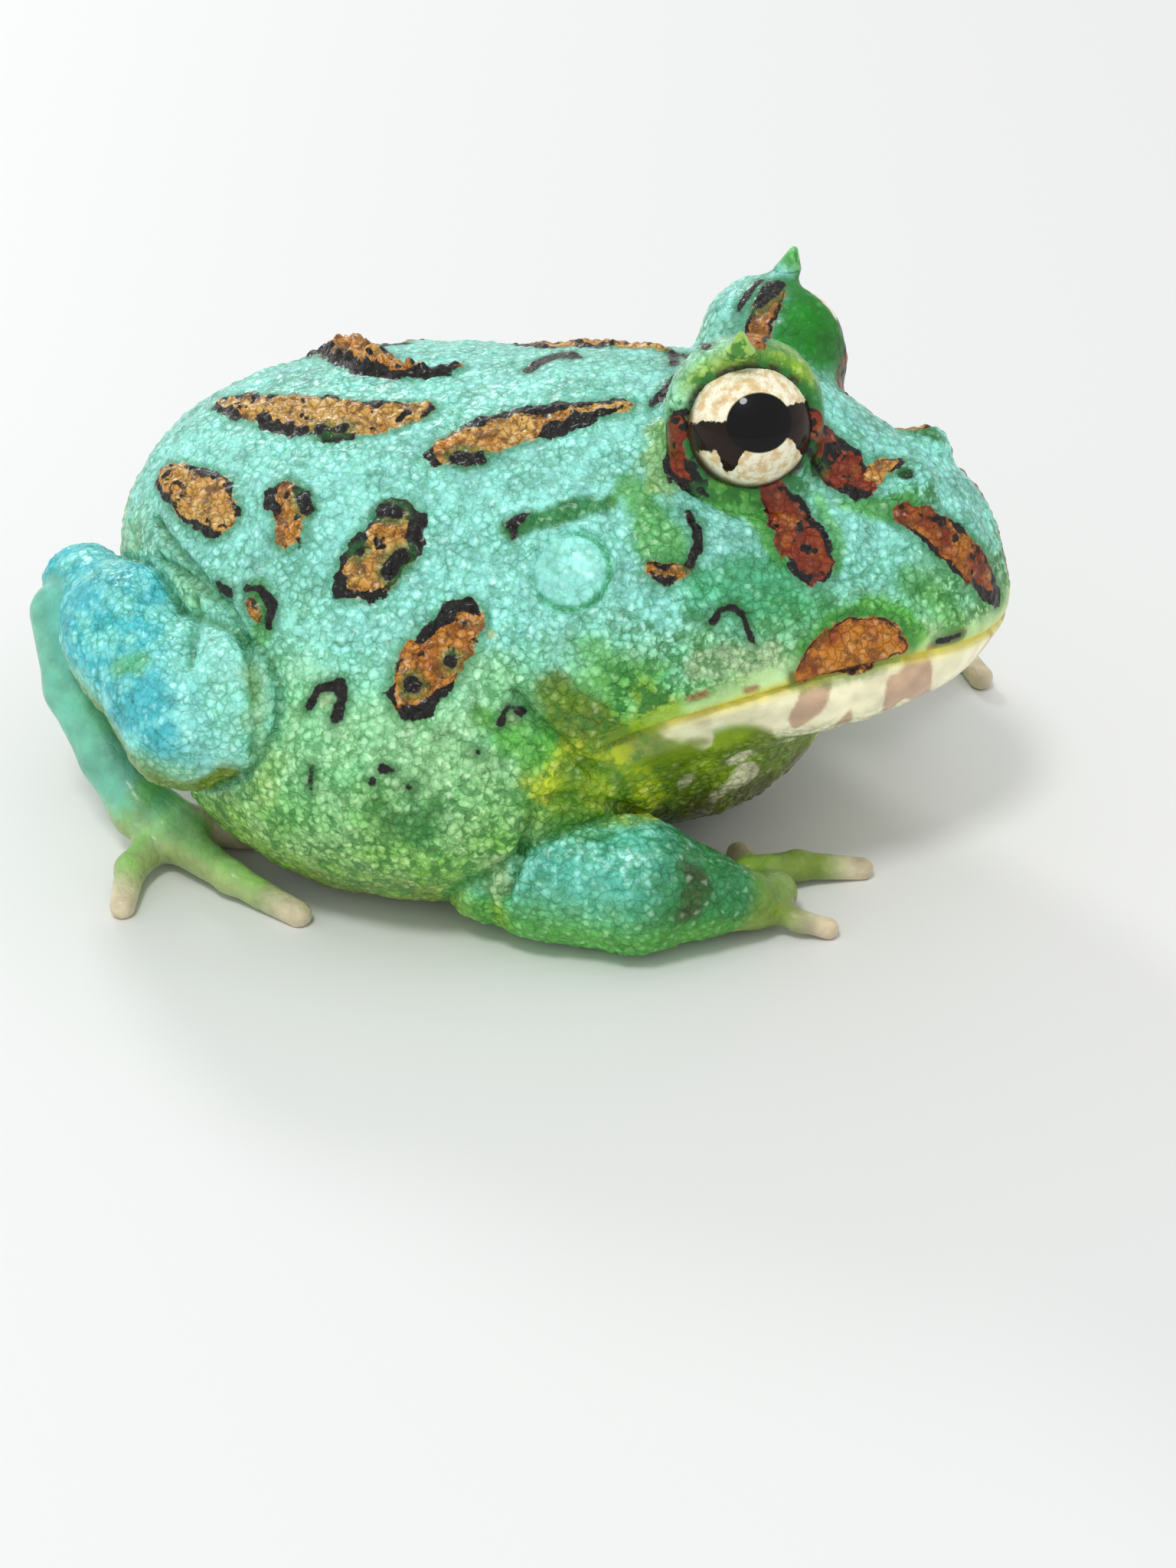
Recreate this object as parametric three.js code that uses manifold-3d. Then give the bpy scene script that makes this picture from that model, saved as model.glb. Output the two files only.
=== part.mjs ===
// A young horned frog sitting still with its head raised, at life size.
// Millimetres. +X runs towards the snout, +Y to the animal's left and +Z up from the floor it sits on.
// The whole animal is one rounded shape, blended from ellipsoids and tapered tubes laid along its bones.
// Each named piece is cut from that shape along its joint, its neck or its mouth.
import * as THREE from "three";
import { mergeVertices } from "three/addons/utils/BufferGeometryUtils.js";
import Module from "manifold-3d";

const wasm = await Module();
wasm.setup();

// Driving sizes
const GAP = 0.3;
const HALF_WIDTH = 23.6;
const EYE_RADIUS = 3.95;
const LID_EDGE = 1.3;
const LID_RIM = 1.2;
const EAR_RADIUS = 2.3;
const HORN_HEIGHT = 1.1;
const HORN_WIDTH = 3.2;
const LIMB_FILLET = 0.8;
const SKIN_SHARE = 0.5;
const ROOM_STEP = 1.15;
const FLATNESS = 0.04;
const THINNING_PASSES = 3;
const NOSTRIL = [27.7, 2.7, 25.9];
const NOSTRIL_RIM = 1.5;
const EYES = { right: [18.3, -6.3, 30.5], left: [17.7, 6.1, 30.1] };
const HORNS = { right: [18.1, -7.8, 36.7], left: [18, 7.2, 36.3] };
const EYE_OPENING = [0.3, 0.93, 0.2];
const EAR = [9.7, 15.1, 23.7];
const EAR_FACES = [0.03, 0.74, 0.68];
const SIDES = { right: -1, left: 1 };

// Mouth and neck seen from the side, as x and z
const MOUTH_CORNER = [13, 13.5];
const MOUTH_MIDDLE = [26, 17.2];
const MOUTH_FRONT = [36, 16];
const NECK = [[17, -1], [16, 6], MOUTH_CORNER, [6, 22], [-1, 34]];

// Grid steps for each kind of piece: finer where the animal is smaller
const STEPS = {
  torso: 4.2,
  head: 2.2,
  jaw: 2.2,
  horn: 0.5,
  upper_arm: 2.1,
  forearm: 2,
  hand: 1.05,
  thigh: 2.3,
  shank: 2.2,
  foot: 1.32,
};

// Vectors as plain lists
const add = (a, b) => a.map((x, i) => x + b[i]);
const minus = (a, b) => a.map((x, i) => x - b[i]);
const times = (a, k) => a.map((x) => x * k);
const dot = (a, b) => a[0] * b[0] + a[1] * b[1] + a[2] * b[2];
const length = (a) => Math.sqrt(dot(a, a));
const unit = (a) => times(a, 1 / length(a));
const toSide = (s, p) => [p[0], s * p[1], p[2]];
const radians = THREE.MathUtils.degToRad;

// A shape is its distance at a point, below zero inside, and a ball that holds it
const shape = (centre, reach, at) => ({ centre, reach, at });

function ellipsoid(centre, radii, pitch = 0, yaw = 0) {
  const [cx, cy, cz] = centre;
  const [rx, ry, rz] = radii;
  const [cosP, sinP] = [Math.cos(radians(pitch)), Math.sin(radians(pitch))];
  const [cosY, sinY] = [Math.cos(radians(yaw)), Math.sin(radians(yaw))];
  return shape(centre, Math.max(...radii), (px, py, pz) => {
    const dx = px - cx;
    const dy = py - cy;
    const dz = pz - cz;
    const along = dx * cosY + dy * sinY;
    const x = (along * cosP + dz * sinP) / rx;
    const y = (dy * cosY - dx * sinY) / ry;
    const z = (dz * cosP - along * sinP) / rz;
    const spread = Math.sqrt(x * x + y * y + z * z);
    if (spread < 1e-4) return -Math.min(rx, ry, rz);
    return (spread * (spread - 1)) / Math.sqrt((x / rx) ** 2 + (y / ry) ** 2 + (z / rz) ** 2);
  });
}

// A cone with round ends, of radius ra at a and rb at b
function taper(a, b, ra, rb) {
  const [ax, ay, az] = a;
  const [ux, uy, uz] = minus(b, a);
  const l2 = ux * ux + uy * uy + uz * uz;
  const rr = ra - rb;
  const a2 = l2 - rr * rr;
  const middle = times(add(a, b), 0.5);
  return shape(middle, Math.sqrt(l2) / 2 + Math.max(ra, rb), (px, py, pz) => {
    const dx = px - ax;
    const dy = py - ay;
    const dz = pz - az;
    const y = dx * ux + dy * uy + dz * uz;
    const z = y - l2;
    const x2 = (dx * l2 - ux * y) ** 2 + (dy * l2 - uy * y) ** 2 + (dz * l2 - uz * y) ** 2;
    const y2 = y * y * l2;
    const z2 = z * z * l2;
    const k = Math.sign(rr) * rr * rr * x2;
    if (Math.sign(z) * a2 * z2 > k) return Math.sqrt(x2 + z2) / l2 - rb;
    if (Math.sign(y) * a2 * y2 < k) return Math.sqrt(x2 + y2) / l2 - ra;
    return (Math.sqrt((x2 * a2) / l2) + y * rr) / l2 - ra;
  });
}

const ball = (centre, radius) => ellipsoid(centre, [radius, radius, radius]);

// Joins shapes with fillets; a shape may bring its own fillet as [shape, fillet]
function blend(fillet, members) {
  const parts = members.map((m) => (Array.isArray(m) ? { of: m[0], k: m[1] } : { of: m, k: fillet }));
  const centre = times(parts.map((p) => p.of.centre).reduce(add), 1 / parts.length);
  const reach = Math.max(...parts.map((p) => length(minus(p.of.centre, centre)) + p.of.reach));
  return shape(centre, reach, (x, y, z) => {
    let d = 1e3;
    for (let i = 0; i < parts.length; i++) {
      const { of, k } = parts[i];
      const [cx, cy, cz] = of.centre;
      const far = Math.sqrt((x - cx) ** 2 + (y - cy) ** 2 + (z - cz) ** 2) - of.reach;
      if (far > d + k + 0.5) continue;
      const e = of.at(x, y, z);
      const h = Math.max(k - Math.abs(d - e), 0) / k;
      d = Math.min(d, e) - (h * h * k) / 4;
    }
    return d;
  });
}

// A tube through stations, each a point and its radius
function limb(stations, fillet = 0.6) {
  return blend(
    fillet,
    stations.slice(1).map(([b, rb], i) => taper(stations[i][0], b, stations[i][1], rb)),
  );
}

// Trunk, head, lower jaw and throat, which share one skin with wide fillets
const both = (make) => [-1, 1].map(make);
const back = [
  ellipsoid([-4.3, 0, 15.3], [19.1, 19, 12.9]),
  ellipsoid([5, 0, 17.8], [14, 14.5, 10.3]),
  ellipsoid([-15.6, 0, 16], [7.8, 10.5, 8]),
];
const flanks = [
  ...both((s) => ellipsoid([-2.2, s * 13.2, 8.7], [15.2, HALF_WIDTH - 13.2, 9], 0, s * 6)),
  ...both((s) => ellipsoid([7.5, s * 9.5, 14.5], [9.5, 8.5, 9])),
  ellipsoid([-1, 0, 8], [15, 15, 8.3]),
];
const skull = [
  ellipsoid([11.5, 0, 20.2], [12.5, 12.5, 10]),
  ...both((s) => ellipsoid([12.5, s * 8.2, 17.6], [11, 8.4, 7.6], 0, -s * 8)),
  ellipsoid([20.8, 0, 19.2], [12.4, 10.6, 7]),
  taper([18, 0, 26.7], [27.3, 0, 22.4], 4.5, 3.05),
];
const lowerJaw = [ellipsoid([16.6, 0, 14], [14.9, 13.4, 3.7], 3), ellipsoid([12.2, 0, 8.6], [10.4, 12.3, 7.8])];
const lips = blend(3, [
  ellipsoid([13.5, 0, 16.6], [15.5, 16.4, 2.6], -1),
  ellipsoid([20.8, 0, 16.9], [12.6, 9.5, 2.8], -1),
]);
const lids = blend(1.6, [
  ball(EYES.right, EYE_RADIUS + 0.75),
  ball(add(EYES.right, [-0.4, 0.4, 0.5]), EYE_RADIUS + 0.7),
  ball(EYES.left, EYE_RADIUS + 0.75),
  ball(add(EYES.left, [-0.9, 0, 0.3]), EYE_RADIUS + 0.5),
]);
const hornOn = (side, s) => taper(add(EYES[side], [-0.3, s * 0.9, 3.4]), HORNS[side], 1.4, 0.3);
const hornTips = { right: hornOn("right", -1), left: hornOn("left", 1) };
const nostrilRims = both((s) => ball(toSide(s, NOSTRIL), NOSTRIL_RIM));
const trunk = blend(4.5, [
  ...back,
  ...flanks,
  ...skull,
  ...lowerJaw,
  [lips, 2.2],
  [lids, 1.8],
  [hornTips.right, 1],
  [hornTips.left, 1],
  ...nostrilRims.map((r) => [r, 1.2]),
]);

// Bones of the right limbs as stations, the hand and foot spread on the floor
const RIGHT = {
  upper_arm: [[[9.4, -14.8, 10.6], 4.6], [[5.9, -18.2, 4.4], 3.75]],
  forearm: [[[9, -18.5, 4.3], 4.15], [[14.6, -18, 4.05], 4.1], [[20.9, -15.7, 2.7], 1.9]],
  palm: [[[21.4, -15, 2.2], 1.8], [[22.3, -13, 1.7], 1.5]],
  fingers: [
    [[[22.2, -14.6, 1.6], 0.9], [[24.4, -14.8, 1.1], 0.6], [[26.1, -14.4, 0.6], 0.75]],
    [[[20.4, -11.6, 1.9], 1.2], [[22.9, -8.8, 1.3], 0.9], [[26.8, -7, 0.6], 0.75]],
    [[[21.6, -12.6, 1.5], 1], [[19.9, -9.5, 1.1], 0.8], [[18.9, -7.8, 0.8], 0.85]],
    [[[21, -13, 1.4], 0.9], [[18.4, -11.2, 1], 0.75], [[16.7, -9.6, 0.8], 0.8]],
  ],
  thigh: [[[-17, -9.2, 13.3], 4.8], [[-10.8, -18, 13], 4.9]],
  shank: [[[-13.6, -19.3, 12.2], 4.4], [[-19.2, -13.4, 14], 4.3], [[-25, -8.4, 14.4], 2.8]],
  tarsus: [
    [[-25.6, -11.1, 13.8], 2.1],
    [[-24.3, -12.9, 9.4], 1.95],
    [[-21.5, -14.6, 5.7], 1.9],
    [[-18.8, -16.2, 3.1], 1.95],
  ],
  sole: [[[-17.6, -16.2, 2.4], 1.9], [[-15.6, -16.6, 1.8], 1.6]],
  toes: [
    [[[-17.2, -17.4, 1.7], 1.3], [[-18, -20.4, 1.2], 0.95], [[-17.2, -23.8, 0.6], 0.8]],
    [[[-15.8, -17.4, 1.8], 1.4], [[-11.4, -19.8, 1.3], 1], [[-6.2, -21.7, 0.6], 0.85]],
    [[[-15.6, -15.4, 1.8], 1.3], [[-13, -14.2, 1.4], 1.25], [[-10.2, -13.7, 0.8], 1]],
    [[[-15.8, -15.6, 1.5], 1.1], [[-14.2, -13.6, 1.1], 0.9], [[-12.6, -12.6, 0.8], 0.85]],
    [[[-16.8, -15.4, 1.4], 1], [[-16.4, -13.4, 1], 0.85], [[-15.8, -11.8, 0.8], 0.8]],
  ],
};

// The left limbs mirror the right ones, the leg drawn in a little and the hand set further out
const isStation = (v) => Array.isArray(v) && v.length === 2 && typeof v[1] === "number";
const eachStation = (v, change) => (isStation(v) ? [change(v[0]), v[1]] : v.map((x) => eachStation(x, change)));
const mirrored = (v, shift = [0, 0, 0]) => eachStation(v, (p) => add(toSide(-1, p), shift));
const LEG_IN = [1.4, -0.9, -1.2];
const FOOT_IN = [1.4, -0.9, 0];
const HEEL_DROP = 1.9;
const LEFT = {
  upper_arm: mirrored(RIGHT.upper_arm),
  forearm: [[[9.3, 18.9, 4.2], 3.8], [[15.7, 20.3, 3.95], 4], [[21.8, 21.6, 2.8], 2.1]],
  palm: [[[23.4, 22, 2.2], 1.8], [[24.8, 22.3, 1.7], 1.5]],
  fingers: [
    [[[26, 22.8, 1.5], 1], [[28.2, 22.2, 1.2], 0.75], [[30, 19.7, 0.8], 0.85]],
    [[[25.2, 21.4, 1.6], 1.1], [[25.4, 19.8, 1.2], 0.9], [[25.3, 18.6, 0.8], 0.85]],
    [[[24.4, 20.8, 1.5], 1], [[23.4, 18.8, 1.1], 0.8], [[22.6, 17.6, 0.8], 0.85]],
    [[[23.2, 21, 1.3], 0.9], [[21.2, 19.4, 1], 0.75], [[20, 18.2, 0.8], 0.8]],
  ],
  thigh: mirrored(RIGHT.thigh, LEG_IN),
  shank: mirrored(RIGHT.shank, LEG_IN),
  tarsus: mirrored(RIGHT.tarsus, FOOT_IN),
  sole: mirrored(RIGHT.sole, FOOT_IN),
  toes: mirrored(RIGHT.toes, FOOT_IN),
};
LEFT.tarsus[0][0][2] -= HEEL_DROP;

function limbShapes(bones) {
  return {
    upper_arm: limb(bones.upper_arm),
    forearm: limb(bones.forearm),
    hand: blend(0.7, [limb(bones.palm), ...bones.fingers.map((f) => limb(f))]),
    thigh: limb(bones.thigh),
    shank: limb(bones.shank, 2),
    foot: blend(0.8, [limb([...bones.tarsus, ...bones.sole]), ...bones.toes.map((t) => limb(t))]),
  };
}
const BONES = { right: RIGHT, left: LEFT };
const limbs = { right: limbShapes(RIGHT), left: limbShapes(LEFT) };
const limbList = [...Object.values(limbs.right), ...Object.values(limbs.left)];
const animal = blend(LIMB_FILLET, [trunk, ...limbList]);

// Distance values on a grid of cubes. Blocks far from the surface keep the one value of their middle.
const BLOCK = 4;
function sampled(at, low, step, n) {
  const value = new Float64Array(n[0] * n[1] * n[2]);
  const index = (i, j, k) => (k * n[1] + j) * n[0] + i;
  const near = [];
  const half = (BLOCK * step) / 2;
  const eachPoint = (start, visit) => {
    const end = start.map((s, i) => Math.min(s + BLOCK, n[i] - 1));
    for (let k = start[2]; k <= end[2]; k++)
      for (let j = start[1]; j <= end[1]; j++) for (let i = start[0]; i <= end[0]; i++) visit(i, j, k);
  };
  for (let k = 0; k < n[2]; k += BLOCK)
    for (let j = 0; j < n[1]; j += BLOCK)
      for (let i = 0; i < n[0]; i += BLOCK) {
        const middle = at(low[0] + i * step + half, low[1] + j * step + half, low[2] + k * step + half);
        if (Math.abs(middle) < half * 5) near.push([i, j, k]);
        else eachPoint([i, j, k], (a, b, c) => (value[index(a, b, c)] = middle));
      }
  for (const start of near)
    eachPoint(start, (a, b, c) => {
      value[index(a, b, c)] = at(low[0] + a * step, low[1] + b * step, low[2] + c * step);
    });
  // The outermost layer counts as outside, so that every mesh is closed
  for (let k = 0; k < n[2]; k++)
    for (let j = 0; j < n[1]; j++)
      for (let i = 0; i < n[0]; i++)
        if ([i, j, k].some((x, axis) => x === 0 || x === n[axis] - 1))
          value[index(i, j, k)] = Math.max(value[index(i, j, k)], step / 3);
  return value;
}

// The cube's corners, its edges, and the four corners round each of its faces
const CORNERS = [0, 1, 2, 3, 4, 5, 6, 7].map((c) => [c & 1, (c >> 1) & 1, c >> 2]);
const BITS = [1, 2, 4];
const EDGES = CORNERS.flatMap((_, a) => BITS.filter((bit) => !(a & bit)).map((bit) => [a, a | bit]));
const edgeBetween = (a, b) => EDGES.findIndex(([p, q]) => p === Math.min(a, b) && q === Math.max(a, b));
const FACES = BITS.flatMap((side, axis) => {
  const [u, w] = [BITS[(axis + 1) % 3], BITS[(axis + 2) % 3]];
  return [0, side].map((base) => [base, base | u, base | u | w, base | w]);
});
const FACE_EDGES = FACES.map((round) => round.map((c, i) => edgeBetween(c, round[(i + 1) % 4])));

// Gathers a cell's crossed edges into sheets: edges next to each other round an inner corner of a face
function sheetsOf(isInside) {
  const sheet = EDGES.map(([a, b], i) => (isInside[a] === isInside[b] ? -1 : i));
  const join = (a, b) => {
    const [keep, drop] = [sheet[a], sheet[b]];
    for (let i = 0; i < 12; i++) if (sheet[i] === drop) sheet[i] = keep;
  };
  FACES.forEach((round, f) => {
    const crossed = FACE_EDGES[f].filter((e) => sheet[e] >= 0);
    if (crossed.length === 2) join(...crossed);
    if (crossed.length === 4)
      round.forEach((c, i) => {
        if (isInside[c]) join(FACE_EDGES[f][i], FACE_EDGES[f][(i + 3) % 4]);
      });
  });
  return sheet;
}

// The closed mesh of a shape inside a box: one vertex in each grid cell for each sheet that crosses it
function surface(at, [low, high], step) {
  const n = low.map((x, i) => Math.ceil((high[i] - x) / step) + 1);
  const value = sampled(at, low, step, n);
  const strides = [1, n[0], n[0] * n[1]];
  const offsets = CORNERS.map((c) => c[0] + c[1] * strides[1] + c[2] * strides[2]);
  const vertexOf = new Map();
  const points = [];
  const eachCell = (visit) => {
    for (let k = 0; k < n[2] - 1; k++)
      for (let j = 0; j < n[1] - 1; j++)
        for (let i = 0; i < n[0] - 1; i++) visit([i, j, k], i + j * strides[1] + k * strides[2]);
  };
  eachCell((cell, here) => {
    const isInside = offsets.map((offset) => value[here + offset] < 0);
    if (isInside.every((x) => x === isInside[0])) return;
    const sheet = sheetsOf(isInside);
    for (const one of new Set(sheet.filter((x) => x >= 0))) {
      let sum = [0, 0, 0];
      let count = 0;
      EDGES.forEach(([a, b], e) => {
        if (sheet[e] !== one) return;
        const va = value[here + offsets[a]];
        const t = va / (va - value[here + offsets[b]]);
        sum = add(sum, add(times(CORNERS[a], 1 - t), times(CORNERS[b], t)));
        count++;
        vertexOf.set(here * 12 + e, points.length);
      });
      const start = cell.map((x, axis) => low[axis] + (x + sum[axis] / count) * step);
      points.push(settled(at, start, step, low, high));
    }
  });
  const faces = [];
  eachCell((cell, here) => {
    for (let axis = 0; axis < 3; axis++) {
      if (cell.some((x, other) => other !== axis && x === 0)) continue;
      const inside = value[here] < 0;
      if (inside === value[here + strides[axis]] < 0) continue;
      const [ua, wa] = [(axis + 1) % 3, (axis + 2) % 3];
      const around = [[1, 1], [0, 1], [0, 0], [1, 0]].map(([du, dw]) => {
        const corner = du * BITS[ua] + dw * BITS[wa];
        const edge = edgeBetween(corner, corner | BITS[axis]);
        return vertexOf.get((here - du * strides[ua] - dw * strides[wa]) * 12 + edge);
      });
      if (!inside) around.reverse();
      const [a, b, c, d] = around;
      const shortFirst = length(minus(points[a], points[c])) <= length(minus(points[b], points[d]));
      faces.push(...(shortFirst ? [a, b, c, a, c, d] : [a, b, d, b, c, d]));
    }
  });
  return { points, faces };
}

function closed({ points, faces }) {
  const geometry = new THREE.BufferGeometry();
  geometry.setAttribute("position", new THREE.Float32BufferAttribute(points.flat(), 3));
  geometry.setIndex(faces);
  return solidOf(geometry);
}

function slopeOf(at, [x, y, z], h) {
  return [
    (at(x + h, y, z) - at(x - h, y, z)) / (2 * h),
    (at(x, y + h, z) - at(x, y - h, z)) / (2 * h),
    (at(x, y, z + h) - at(x, y, z - h)) / (2 * h),
  ];
}

// Moves a point onto the surface in a few steps, unless that would take it out of its own cell
function settled(at, start, step, low, high) {
  if (start.some((x, i) => x < low[i] + step || x > high[i] - step)) return start;
  let p = start;
  for (let round = 0; round < 3; round++) {
    const slope = slopeOf(at, p, 0.03);
    const steep = length(slope);
    if (steep < 0.2) return start;
    p = minus(p, times(slope, at(...p) / (steep * steep)));
  }
  return length(minus(p, start)) > step * 0.5 ? start : p;
}

// Closed meshes as solids to cut, and back again
function solidOf(geometry) {
  const g = geometry.clone();
  g.deleteAttribute("normal");
  g.deleteAttribute("uv");
  const merged = mergeVertices(g, 1e-4);
  return new wasm.Manifold(
    new wasm.Mesh({
      numProp: 3,
      vertProperties: merged.attributes.position.array,
      triVerts: new Uint32Array(merged.index.array),
    }),
  );
}

function geometryOf(solid) {
  const largest = solid.decompose().sort((a, b) => b.volume() - a.volume())[0].getMesh();
  const points = [];
  for (let i = 0; i < largest.numVert; i++) {
    const from = i * largest.numProp;
    points.push([...largest.vertProperties.subarray(from, from + 3)]);
  }
  const faces = [];
  for (let i = 0; i < largest.numTri; i++) faces.push([...largest.triVerts.subarray(i * 3, i * 3 + 3)]);
  const g = new THREE.BufferGeometry();
  g.setAttribute("position", new THREE.Float32BufferAttribute(points.flat(), 3));
  g.setIndex(thinned(points, faces).flat());
  return mergeVertices(g.toNonIndexed(), 1e-5);
}

// Draws a vertex onto a neighbour that lies in the planes of all its faces, which removes slivers
// and needless points of flat areas. Two triangles go with each, and the mesh stays closed.
function thinned(points, faces) {
  const facesOf = points.map(() => new Set());
  faces.forEach((face, i) => face.forEach((v) => facesOf[v].add(i)));
  const ringOf = (v) => new Set([...facesOf[v]].flatMap((i) => faces[i]).filter((w) => w !== v));
  const crossOf = ([a, b, c]) => {
    const u = minus(points[b], points[a]);
    const w = minus(points[c], points[a]);
    return [u[1] * w[2] - u[2] * w[1], u[2] * w[0] - u[0] * w[2], u[0] * w[1] - u[1] * w[0]];
  };
  const mayMove = (v, w, ring) => {
    if ([...ringOf(w)].filter((x) => ring.has(x)).length !== 2) return false;
    for (const i of facesOf[v]) {
      const face = faces[i];
      const before = crossOf(face);
      const size = length(before);
      if (size > 1e-3 && Math.abs(dot(before, minus(points[w], points[v]))) / size > FLATNESS) return false;
      if (face.includes(w)) continue;
      const after = crossOf(face.map((x) => (x === v ? w : x)));
      if (length(after) < 1e-3 || (size > 1e-3 && dot(before, after) < 0.5 * size * length(after))) return false;
    }
    return true;
  };
  for (let pass = 0; pass < THINNING_PASSES; pass++)
    for (let v = 0; v < points.length; v++) {
      if (facesOf[v].size === 0) continue;
      const ring = ringOf(v);
      const reach = (w) => length(minus(points[w], points[v]));
      const target = [...ring].sort((a, b) => reach(a) - reach(b)).find((w) => mayMove(v, w, ring));
      if (target === undefined) continue;
      for (const i of [...facesOf[v]]) {
        if (faces[i].includes(target)) {
          faces[i].forEach((x) => facesOf[x].delete(i));
          faces[i] = null;
        } else {
          faces[i] = faces[i].map((x) => (x === v ? target : x));
          facesOf[target].add(i);
        }
      }
      facesOf[v].clear();
    }
  return faces.filter((face) => face);
}

// Everything above the floor, which flattens what rests on it
const REACH = 80;
const aboveFloor = solidOf(new THREE.BoxGeometry(REACH * 2, REACH * 2, REACH).translate(0, 0, REACH / 2));

// A prism across the whole animal from an outline of x and z
function acrossBody(outline, dx, dz) {
  const corners = outline.map(([x, z]) => new THREE.Vector2(x + dx, z + dz));
  const g = new THREE.ExtrudeGeometry(new THREE.Shape(corners), { depth: REACH, bevelEnabled: false });
  return solidOf(g.rotateX(Math.PI / 2).translate(0, REACH / 2, 0));
}

// The mouth's line is an arc through its corner, middle and front
const ARC_STEPS = 14;
const arcHandle = MOUTH_MIDDLE.map((m, i) => 2 * m - (MOUTH_CORNER[i] + MOUTH_FRONT[i]) / 2);
const arc = new THREE.QuadraticBezierCurve(
  new THREE.Vector2(...MOUTH_CORNER),
  new THREE.Vector2(...arcHandle),
  new THREE.Vector2(...MOUTH_FRONT),
);
const mouth = arc.getPoints(ARC_STEPS).map((q) => [q.x, q.y]);
const [throat, breast, , cheek, nape] = NECK;
const torsoOutline = [throat, breast, MOUTH_CORNER, cheek, nape, [nape[0], 60], [-60, 60], [-60, -5], [throat[0], -5]];
const headOutline = [...mouth, [REACH, MOUTH_FRONT[1]], [REACH, 60], [nape[0], 60], nape, cheek];
const jawOutline = [...mouth, [REACH, MOUTH_FRONT[1]], [REACH, -5], [throat[0], -5], throat, breast];

const skinOf = (color) => new THREE.MeshStandardMaterial({ color, roughness: 0.45, metalness: 0 });
const turquoise = skinOf(0x5fc9b4);
const leaf = skinOf(0x7fbf6a);
const cream = skinOf(0xe8dcc2);
const dark = new THREE.MeshStandardMaterial({ color: 0x2b2118, roughness: 0.08, metalness: 0 });

const frog = new THREE.Group();
function place(name, solid, material) {
  const mesh = new THREE.Mesh(geometryOf(solid), material);
  mesh.name = name;
  frog.add(mesh);
}

// The box round some stations
function boxRound(stations, margin) {
  const low = [0, 1, 2].map((i) => Math.min(...stations.map(([p, r]) => p[i] - r)) - margin);
  const high = [0, 1, 2].map((i) => Math.max(...stations.map(([p, r]) => p[i] + r)) + margin);
  return [low, high];
}
const stationsIn = (bones, names) => names.flatMap((name) => bones[name].flat(isStation(bones[name][0]) ? 0 : 1));

// Each limb from its far end inwards. A piece is the skin close to its own bones, less the room
// that the pieces beyond it take; that room is wider by the gap.
const CHAINS = [
  [
    ["hand", ["palm", "fingers"], leaf],
    ["forearm", ["forearm"], turquoise],
    ["upper_arm", ["upper_arm"], turquoise],
  ],
  [
    ["foot", ["tarsus", "sole", "toes"], leaf],
    ["shank", ["shank"], turquoise],
    ["thigh", ["thigh"], turquoise],
  ],
];
const rooms = [];
for (const side of Object.keys(SIDES))
  for (const chain of CHAINS) {
    const taken = [];
    for (const [name, bones, material] of chain) {
      const bone = limbs[side][name];
      const step = STEPS[name];
      const box = boxRound(stationsIn(BONES[side], bones), 1.5 + 2 * step);
      const within = (reach) => closed(surface((x, y, z) => bone.at(x, y, z) - reach, box, step * ROOM_STEP));
      let piece = closed(surface(animal.at, box, step)).intersect(within(SKIN_SHARE)).intersect(aboveFloor);
      for (const room of taken) piece = piece.subtract(room);
      place(name + "_" + side, piece, material);
      taken.push(within(SKIN_SHARE + GAP));
    }
    rooms.push(...taken);
  }

// Torso, head and lower jaw
function trunkPiece(outline, dx, dz, box, step) {
  let piece = closed(surface(animal.at, box, step)).intersect(acrossBody(outline, dx, dz)).intersect(aboveFloor);
  for (const room of rooms) piece = piece.subtract(room);
  return piece;
}
const torso = trunkPiece(torsoOutline, -GAP / 2, 0, [[-31, -30, -5], [22, 30, 34]], STEPS.torso);
let head = trunkPiece(headOutline, GAP / 2, GAP / 2, [[-4, -21, 10], [38, 21, 42]], STEPS.head);
const jaw = trunkPiece(jawOutline, GAP / 2, -GAP / 2, [[10, -21, -3], [38, 21, 22]], STEPS.jaw);

// The box round a horn's tip, with room for the lid below it
const HORN_BOX_LOW = [-4, -4, -4];
const HORN_BOX_HIGH = [4, 4, 2];
const hornBox = (side) => [add(HORNS[side], HORN_BOX_LOW), add(HORNS[side], HORN_BOX_HIGH)];

// The eye's socket and the round opening between the lids, which leaves the horn's root whole
function eyeCut(side, s) {
  const socket = new THREE.SphereGeometry(EYE_RADIUS + GAP, 20, 12).translate(...EYES[side]);
  const outward = unit(toSide(s, EYE_OPENING));
  const opening = new THREE.CylinderGeometry(EYE_RADIUS + LID_RIM, EYE_RADIUS + LID_RIM, 5, 22);
  const turn = new THREE.Quaternion().setFromUnitVectors(new THREE.Vector3(0, 1, 0), new THREE.Vector3(...outward));
  opening.applyQuaternion(turn).translate(...add(EYES[side], times(outward, LID_EDGE + 2.5)));
  const root = closed(surface(hornTips[side].at, hornBox(side), STEPS.horn));
  return solidOf(opening).subtract(root).add(solidOf(socket));
}

function nostrilCut(s) {
  const pit = new THREE.SphereGeometry(0.6, 12, 8).scale(1.5, 1, 1);
  pit.rotateY(radians(20));
  return solidOf(pit.translate(...toSide(s, add(NOSTRIL, [0.4, 0.75, 1.15]))));
}

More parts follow.
